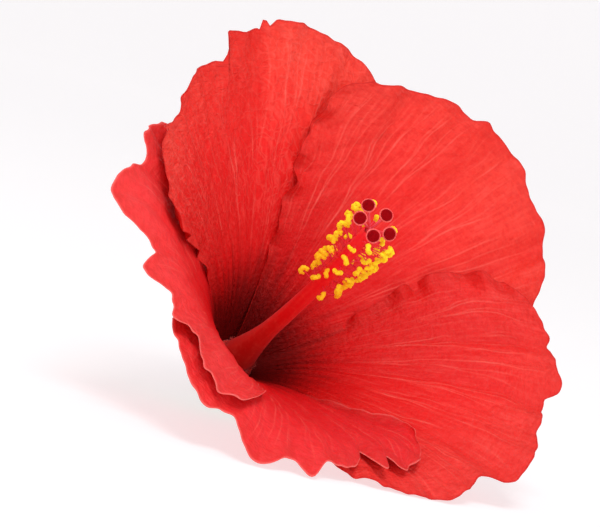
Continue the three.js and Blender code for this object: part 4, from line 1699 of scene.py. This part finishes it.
@dataclass(frozen=True)
class Calyx:
    """The green cup under the petals, with a thin ribbed wall that ends in five lobes."""

    floor_top: float = -0.9
    floor_bottom: float = -4.2
    floor_radius: float = 4.6
    inside_radius: float = 7.6
    clearance: float = 1.9
    wall: float = 0.9
    rim_wall: float = 0.35
    lobes: int = 5
    first_lobe: float = 32.0
    notch: float = 8.0
    tip: float = 19.0
    edge_power: float = 1.2
    sides: int = 200
    rows: int = 26
    ribs: int = 15
    rib: float = 0.14
    thinning_share: Span = (0.3, 0.7)
    foot_radii: tuple[float, ...] = (0.05, 1.6, 3.2)
    top_radii: tuple[float, ...] = (4.0, 2.0, 0.05)
    green: SmoothFinish = SmoothFinish(
        paint(96, 128, 44), paint(118, 146, 62), paint(150, 170, 96), grain_scale=700.0,
        streaks=0.5, roughness=0.5, relief=0.04, sheen=0.2,
    )  # fmt: skip

    def shell(self) -> Shell:
        """The cup, a skin from the middle of its foot up and back down to its floor."""
        azimuth = np.arange(self.sides) * 360 / self.sides
        lobe = np.mod((azimuth - self.first_lobe) * self.lobes / 360, 1)
        edge = self.notch + (self.tip - self.notch) * np.abs(2 * lobe - 1) ** self.edge_power
        share = np.linspace(0, 1, self.rows)[:, None]
        run = share * edge
        ribbing = self.rib * np.cos(np.radians(self.ribs * (azimuth - self.first_lobe)))
        ribbing = ribbing * np.sin(math.pi * np.clip(share, 0, 1)) ** 0.5
        wall = self.wall + (self.rim_wall - self.wall) * ease(share, *self.thinning_share)
        outer = FUNNEL.at(azimuth, run, -(self.clearance + wall + ribbing))
        inner = FUNNEL.at(azimuth, run, np.full_like(run, -self.clearance))[::-1]

        def flat(radius: float, height: float) -> np.ndarray:
            """A flat ring."""
            return radial(azimuth, radius, height)[None]

        foot = [flat(radius, self.floor_bottom) for radius in (*self.foot_radii, self.floor_radius)]
        top = [flat(radius, self.floor_top) for radius in (self.inside_radius, *self.top_radii)]
        rings = np.concatenate([*foot, outer, inner[:-1], *top])
        shares = [0.0] * len(foot) + list(share[:, 0]) + list(share[:0:-1, 0]) + [0.0] * len(top)
        shell = Shell()
        turn = np.tile(azimuth / 360 * self.ribs, len(rings))
        # painted shade: the floor inside the cup, under the petals, takes the finish's dark seat colour
        seat = np.repeat([0.0] * (len(rings) - len(top)) + [1.0] * len(top), self.sides)
        lathe(shell, rings, along=np.repeat(shares, self.sides), turn=turn, seat=seat)
        return shell

    def build(self) -> None:
        """Builds and dresses the calyx."""
        self.shell().dress("calyx_cup", "calyx", Slot.CALYX, self.green.material("calyx_finish"))


@dataclass(frozen=True)
class Epicalyx:
    """A collar round the top of the stalk and narrow bractlets that rise from it.

    slope is the degrees between a bractlet's root and the axis, and bend is how far it has bent
    back to the axis at its tip. The gutter and the thinning towards its edges and its tip are
    shares of its half width and of its thickness.
    """

    bractlets: int = 7
    first_bractlet: float = 10.0
    collar_top: float = -4.5
    collar_bottom: float = -7.0
    collar_radius: float = 4.4
    bore: float = 2.3
    length: float = 10.5
    width: float = 2.6
    thickness: float = 0.8
    slope: float = 66.0
    bend: float = 10.0
    root_radius: float = 3.2
    root_height: float = -5.7
    root_width: float = 0.75
    root_swell: float = 0.15
    tip_share: float = 0.006
    gutter: float = 0.35
    edge_thinning: float = 0.75
    tip_thinning: float = 0.6
    columns: int = 11
    rows: int = 28
    sides: int = 72
    collar_streaks: float = 9.0
    leaf_streaks: float = 0.6
    leaf: SmoothFinish = SmoothFinish(
        paint(78, 108, 36), paint(96, 122, 48), paint(128, 150, 80), grain_scale=800.0,
        streaks=0.4, roughness=0.5, relief=0.04, sheen=0.2,
    )  # fmt: skip

    def shell(self) -> Shell:
        """The collar and its bractlets."""
        azimuth = np.arange(self.sides) * 360 / self.sides
        outline = (
            (self.bore, self.collar_bottom),
            (self.root_radius, self.collar_bottom),
            (0.5 * (self.root_radius + self.collar_radius) + self.root_swell, self.root_height),
            (self.collar_radius, self.collar_top),
            (self.bore, self.collar_top),
        )
        shell = Shell()
        rings = np.stack([radial(azimuth, radius, height) for radius, height in outline])
        streaks = np.tile(azimuth / 360 * self.collar_streaks, len(outline))
        lathe(shell, rings, along=0.0, turn=streaks, inside=0.0)
        across, share = np.meshgrid(np.linspace(-1, 1, self.columns), np.linspace(0, 1, self.rows))
        run = self.length * share
        slope = np.radians(self.slope - self.bend * share)
        taper = np.sqrt(np.clip(1 - share * share, self.tip_share, 1))
        half = self.width / 2 * taper * (self.root_width + share * (1 - share) / 2)
        gutter = self.gutter * across**2 * half
        radius = self.root_radius + run * np.sin(slope) - gutter * np.cos(slope)
        height = self.root_height + run * np.cos(slope) + gutter * np.sin(slope)
        side = across * half
        thick = (1 - self.edge_thinning * across**2) * (1 - self.tip_thinning * share)
        for i in range(self.bractlets):
            turn = math.radians(self.first_bractlet + 360 * i / self.bractlets)
            x = radius * math.cos(turn) - side * math.sin(turn)
            y = radius * math.sin(turn) + side * math.cos(turn)
            grid = np.stack([x, y, height], axis=-1)
            streaks = across * self.leaf_streaks + i
            blade(shell, grid, self.thickness / 2 * thick, along=share, turn=streaks)
        return shell

    def build(self) -> None:
        """Builds and dresses the epicalyx."""
        material = self.leaf.material("epicalyx_finish")
        self.shell().dress("epicalyx_bractlets", "epicalyx", Slot.CALYX, material)


@dataclass(frozen=True)
class Stalk:
    """The cut stalk, which leaves the calyx along the axis and bends over until it lies down.

    reach is how far its cut end lies from its top, to +X and +Y. The pulls are how far it holds its
    direction, from its top down the axis and from its end back along the surface.
    """

    top: float = -4.5
    radii: Knots = (
        (0, 1.9), (0.12, 1.7), (0.3, 1.5), (0.42, 1.9), (0.5, 2.0), (0.58, 1.6), (0.75, 1.45),
        (1, 1.4),
    )  # fmt: skip
    reach: Span = (-3.0, 37.0)
    top_pull: float = 13.0
    end_pull: Span = (-1.0, 16.0)
    curve_steps: int = 400
    steps: int = 130
    sides: int = 28
    bark: SmoothFinish = SmoothFinish(
        paint(104, 132, 52), paint(120, 132, 62), paint(142, 96, 62), grain_scale=420.0,
        streaks=0.3, roughness=0.5, relief=0.05, sheen=0.1,
    )  # fmt: skip

    def path(self) -> np.ndarray:
        """The stalk's middle line in the world, in millimetres, in even steps."""
        on_axis = np.array([[0, 0, self.top], [0, 0, self.top - self.top_pull]])
        foot, along = LIE.world(on_axis) / MM
        end = np.array([foot[0] + self.reach[0], foot[1] + self.reach[1], self.radii[-1][1]])
        lying = end - np.array([*self.end_pull, 0.0])
        t = np.linspace(0, 1, self.curve_steps)[:, None]
        curve = (1 - t) ** 3 * foot + 3 * (1 - t) ** 2 * t * along
        curve = curve + 3 * (1 - t) * t**2 * lying + t**3 * end
        length = np.concatenate([[0], np.cumsum(np.linalg.norm(np.diff(curve, axis=0), axis=1))])
        even = np.linspace(0, length[-1], self.steps)
        return np.stack([np.interp(even, length, curve[:, k]) for k in range(3)], axis=-1)

    def build(self) -> None:
        """Builds and dresses the stalk."""
        shell = Shell()
        radii = through(self.radii, np.linspace(0, 1, self.steps))
        tube(shell, self.path(), radii, self.sides, turn=0.0)
        material = self.bark.material("stalk_finish")
        shell.dress("stalk_stem", "stalk", Slot.STALK, material, lambda points: points * MM)


# ------------------------------------------------------------------------- the studio


def put_up(name: str, data: bpy.types.ID, axes: np.ndarray, where: np.ndarray) -> bpy.types.Object:
    """Puts up a camera or a light.

    Args:
        name: its name.
        data: what it is.
        axes: its right, up and back, as columns.
        where: its place in the world, in metres.

    Returns:
        The object.
    """
    held = bpy.data.objects.new(name, data)
    pose = Matrix(axes.tolist()).to_4x4()
    pose.translation = where
    held.matrix_world = pose
    bpy.context.scene.collection.objects.link(held)
    return held


@dataclass(frozen=True)
class View:
    """The camera. Its place is told from the flower, in millimetres and degrees.

    tilt is the angle between the line of sight and the flower's axis, and head is where the axis
    points in the picture, from its right. throat is where the flower's throat lies from the
    middle of the picture: to the right, up, and towards the camera.
    """

    tilt: float = 46.0
    head: float = 41.0
    throat: Triple = (-16.2, -23.6, -20.0)
    distance: float = 620.0
    lens: float = 155.0
    sensor: float = 36.0
    clip: Span = (0.01, 20.0)

    def axes(self) -> np.ndarray:
        """The camera's right, up and back in the world, as columns."""
        tilt = math.radians(self.tilt)
        axis = radial(self.head, math.sin(tilt), math.cos(tilt))
        first = radial(self.head, math.cos(tilt), -math.sin(tilt))
        flower = np.stack([first, np.cross(axis, first), axis], axis=1)
        return LIE.turn() @ flower.T

    def place(self, right: float, up: float, back: float) -> np.ndarray:
        """A point given from the middle of the picture, in millimetres, in world metres."""
        from_throat = np.array([right, up, back]) - np.array(self.throat)
        return (np.array(LIE.throat) + self.axes() @ from_throat) * MM

    def build(self) -> None:
        """Puts up the camera."""
        camera = bpy.data.cameras.new("camera")
        camera.lens, camera.sensor_width = self.lens, self.sensor
        camera.clip_start, camera.clip_end = self.clip
        where = self.place(0.0, 0.0, self.distance)
        bpy.context.scene.camera = put_up("camera", camera, self.axes(), where)


VIEW = View()


@dataclass(frozen=True)
class Lamp:
    """A soft square light that looks at the flower. Its place is told from the picture's middle,
    in metres: to the right, up, and towards the camera. Its side is metres and its power watts.
    """

    name: str
    place: Triple
    side: float
    power: float

    def build(self) -> None:
        """Puts up the light."""
        light = bpy.data.lights.new(self.name, "AREA")
        light.shape, light.size, light.energy = "SQUARE", self.side, self.power
        where = VIEW.place(*(x / MM for x in self.place))
        put_up(self.name, light, turned_to(where - VIEW.place(0.0, 0.0, 0.0)), where)


@dataclass(frozen=True)
class Studio:
    """A pale floor that curves up into a round wall, soft lights, and the camera, in metres."""

    floor_radius: float = 1.7
    inner_radii: Span = (0.002, 0.4)
    cove: float = 0.9
    cove_steps: int = 16
    wall_height: float = 1.7
    sides: int = 96
    paper: Colour = (0.42, 0.415, 0.42)
    gleam: Colour = (0.93, 0.905, 0.915)
    glow: float = 0.70
    roughness: float = 0.9
    specular: float = 0.1
    sky: float = 0.4
    lamps: tuple[Lamp, ...] = (
        Lamp("key", (0.30, 0.95, 0.78), 0.45, 8.3),
        Lamp("fill", (-0.9, 0.35, 0.9), 0.8, 1.7),
    )

    def stage(self) -> None:
        """Builds the floor and its wall."""
        turn = np.linspace(0, math.pi / 2, self.cove_steps)
        wide = self.floor_radius + self.cove * np.sin(turn)
        high = self.cove * (1 - np.cos(turn))
        radius = np.concatenate([self.inner_radii, wide, [wide[-1]]])
        height = np.concatenate([[0, 0], high, [self.wall_height]])
        azimuth = np.arange(self.sides) * 360 / self.sides
        rings = radial(azimuth, radius[:, None], height[:, None])
        shell = Shell()
        faces = grid_faces(len(rings), self.sides, closed=True)
        shell.add(rings, [faces[:, ::-1], np.arange(self.sides)[None]])
        finish = Bench("paper").surface(
            Base_Color=self.paper,
            Roughness=self.roughness,
            Specular_IOR_Level=self.specular,
            Emission_Color=self.gleam,
            Emission_Strength=self.glow,
        )
        shell.build("floor", finish, lambda points: points)

    def light(self) -> None:
        """Sets the sky and the lights."""
        world = bpy.data.worlds.new("sky")
        world.use_nodes = True
        background = world.node_tree.nodes["Background"]
        background.inputs["Color"].default_value = (1.0, 1.0, 1.0, 1.0)
        background.inputs["Strength"].default_value = self.sky
        bpy.context.scene.world = world
        for lamp in self.lamps:
            lamp.build()

    def build(self) -> None:
        """Builds the stage, the lights and the camera, and keeps reds as they are."""
        self.stage()
        self.light()
        VIEW.build()
        bpy.context.scene.view_settings.view_transform = "Standard"


# ------------------------------------------------------------------------- the whole picture


def main() -> None:
    """Dresses the part, piece by piece, and sets up the studio."""
    logging.basicConfig(level=logging.INFO, format="%(message)s")
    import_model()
    for petal in PETALS:
        petal.build()
    StaminalColumn().build()
    Pistil().build()
    Calyx().build()
    Epicalyx().build()
    Stalk().build()
    Studio().build()


if __name__ == "__main__":
    main()
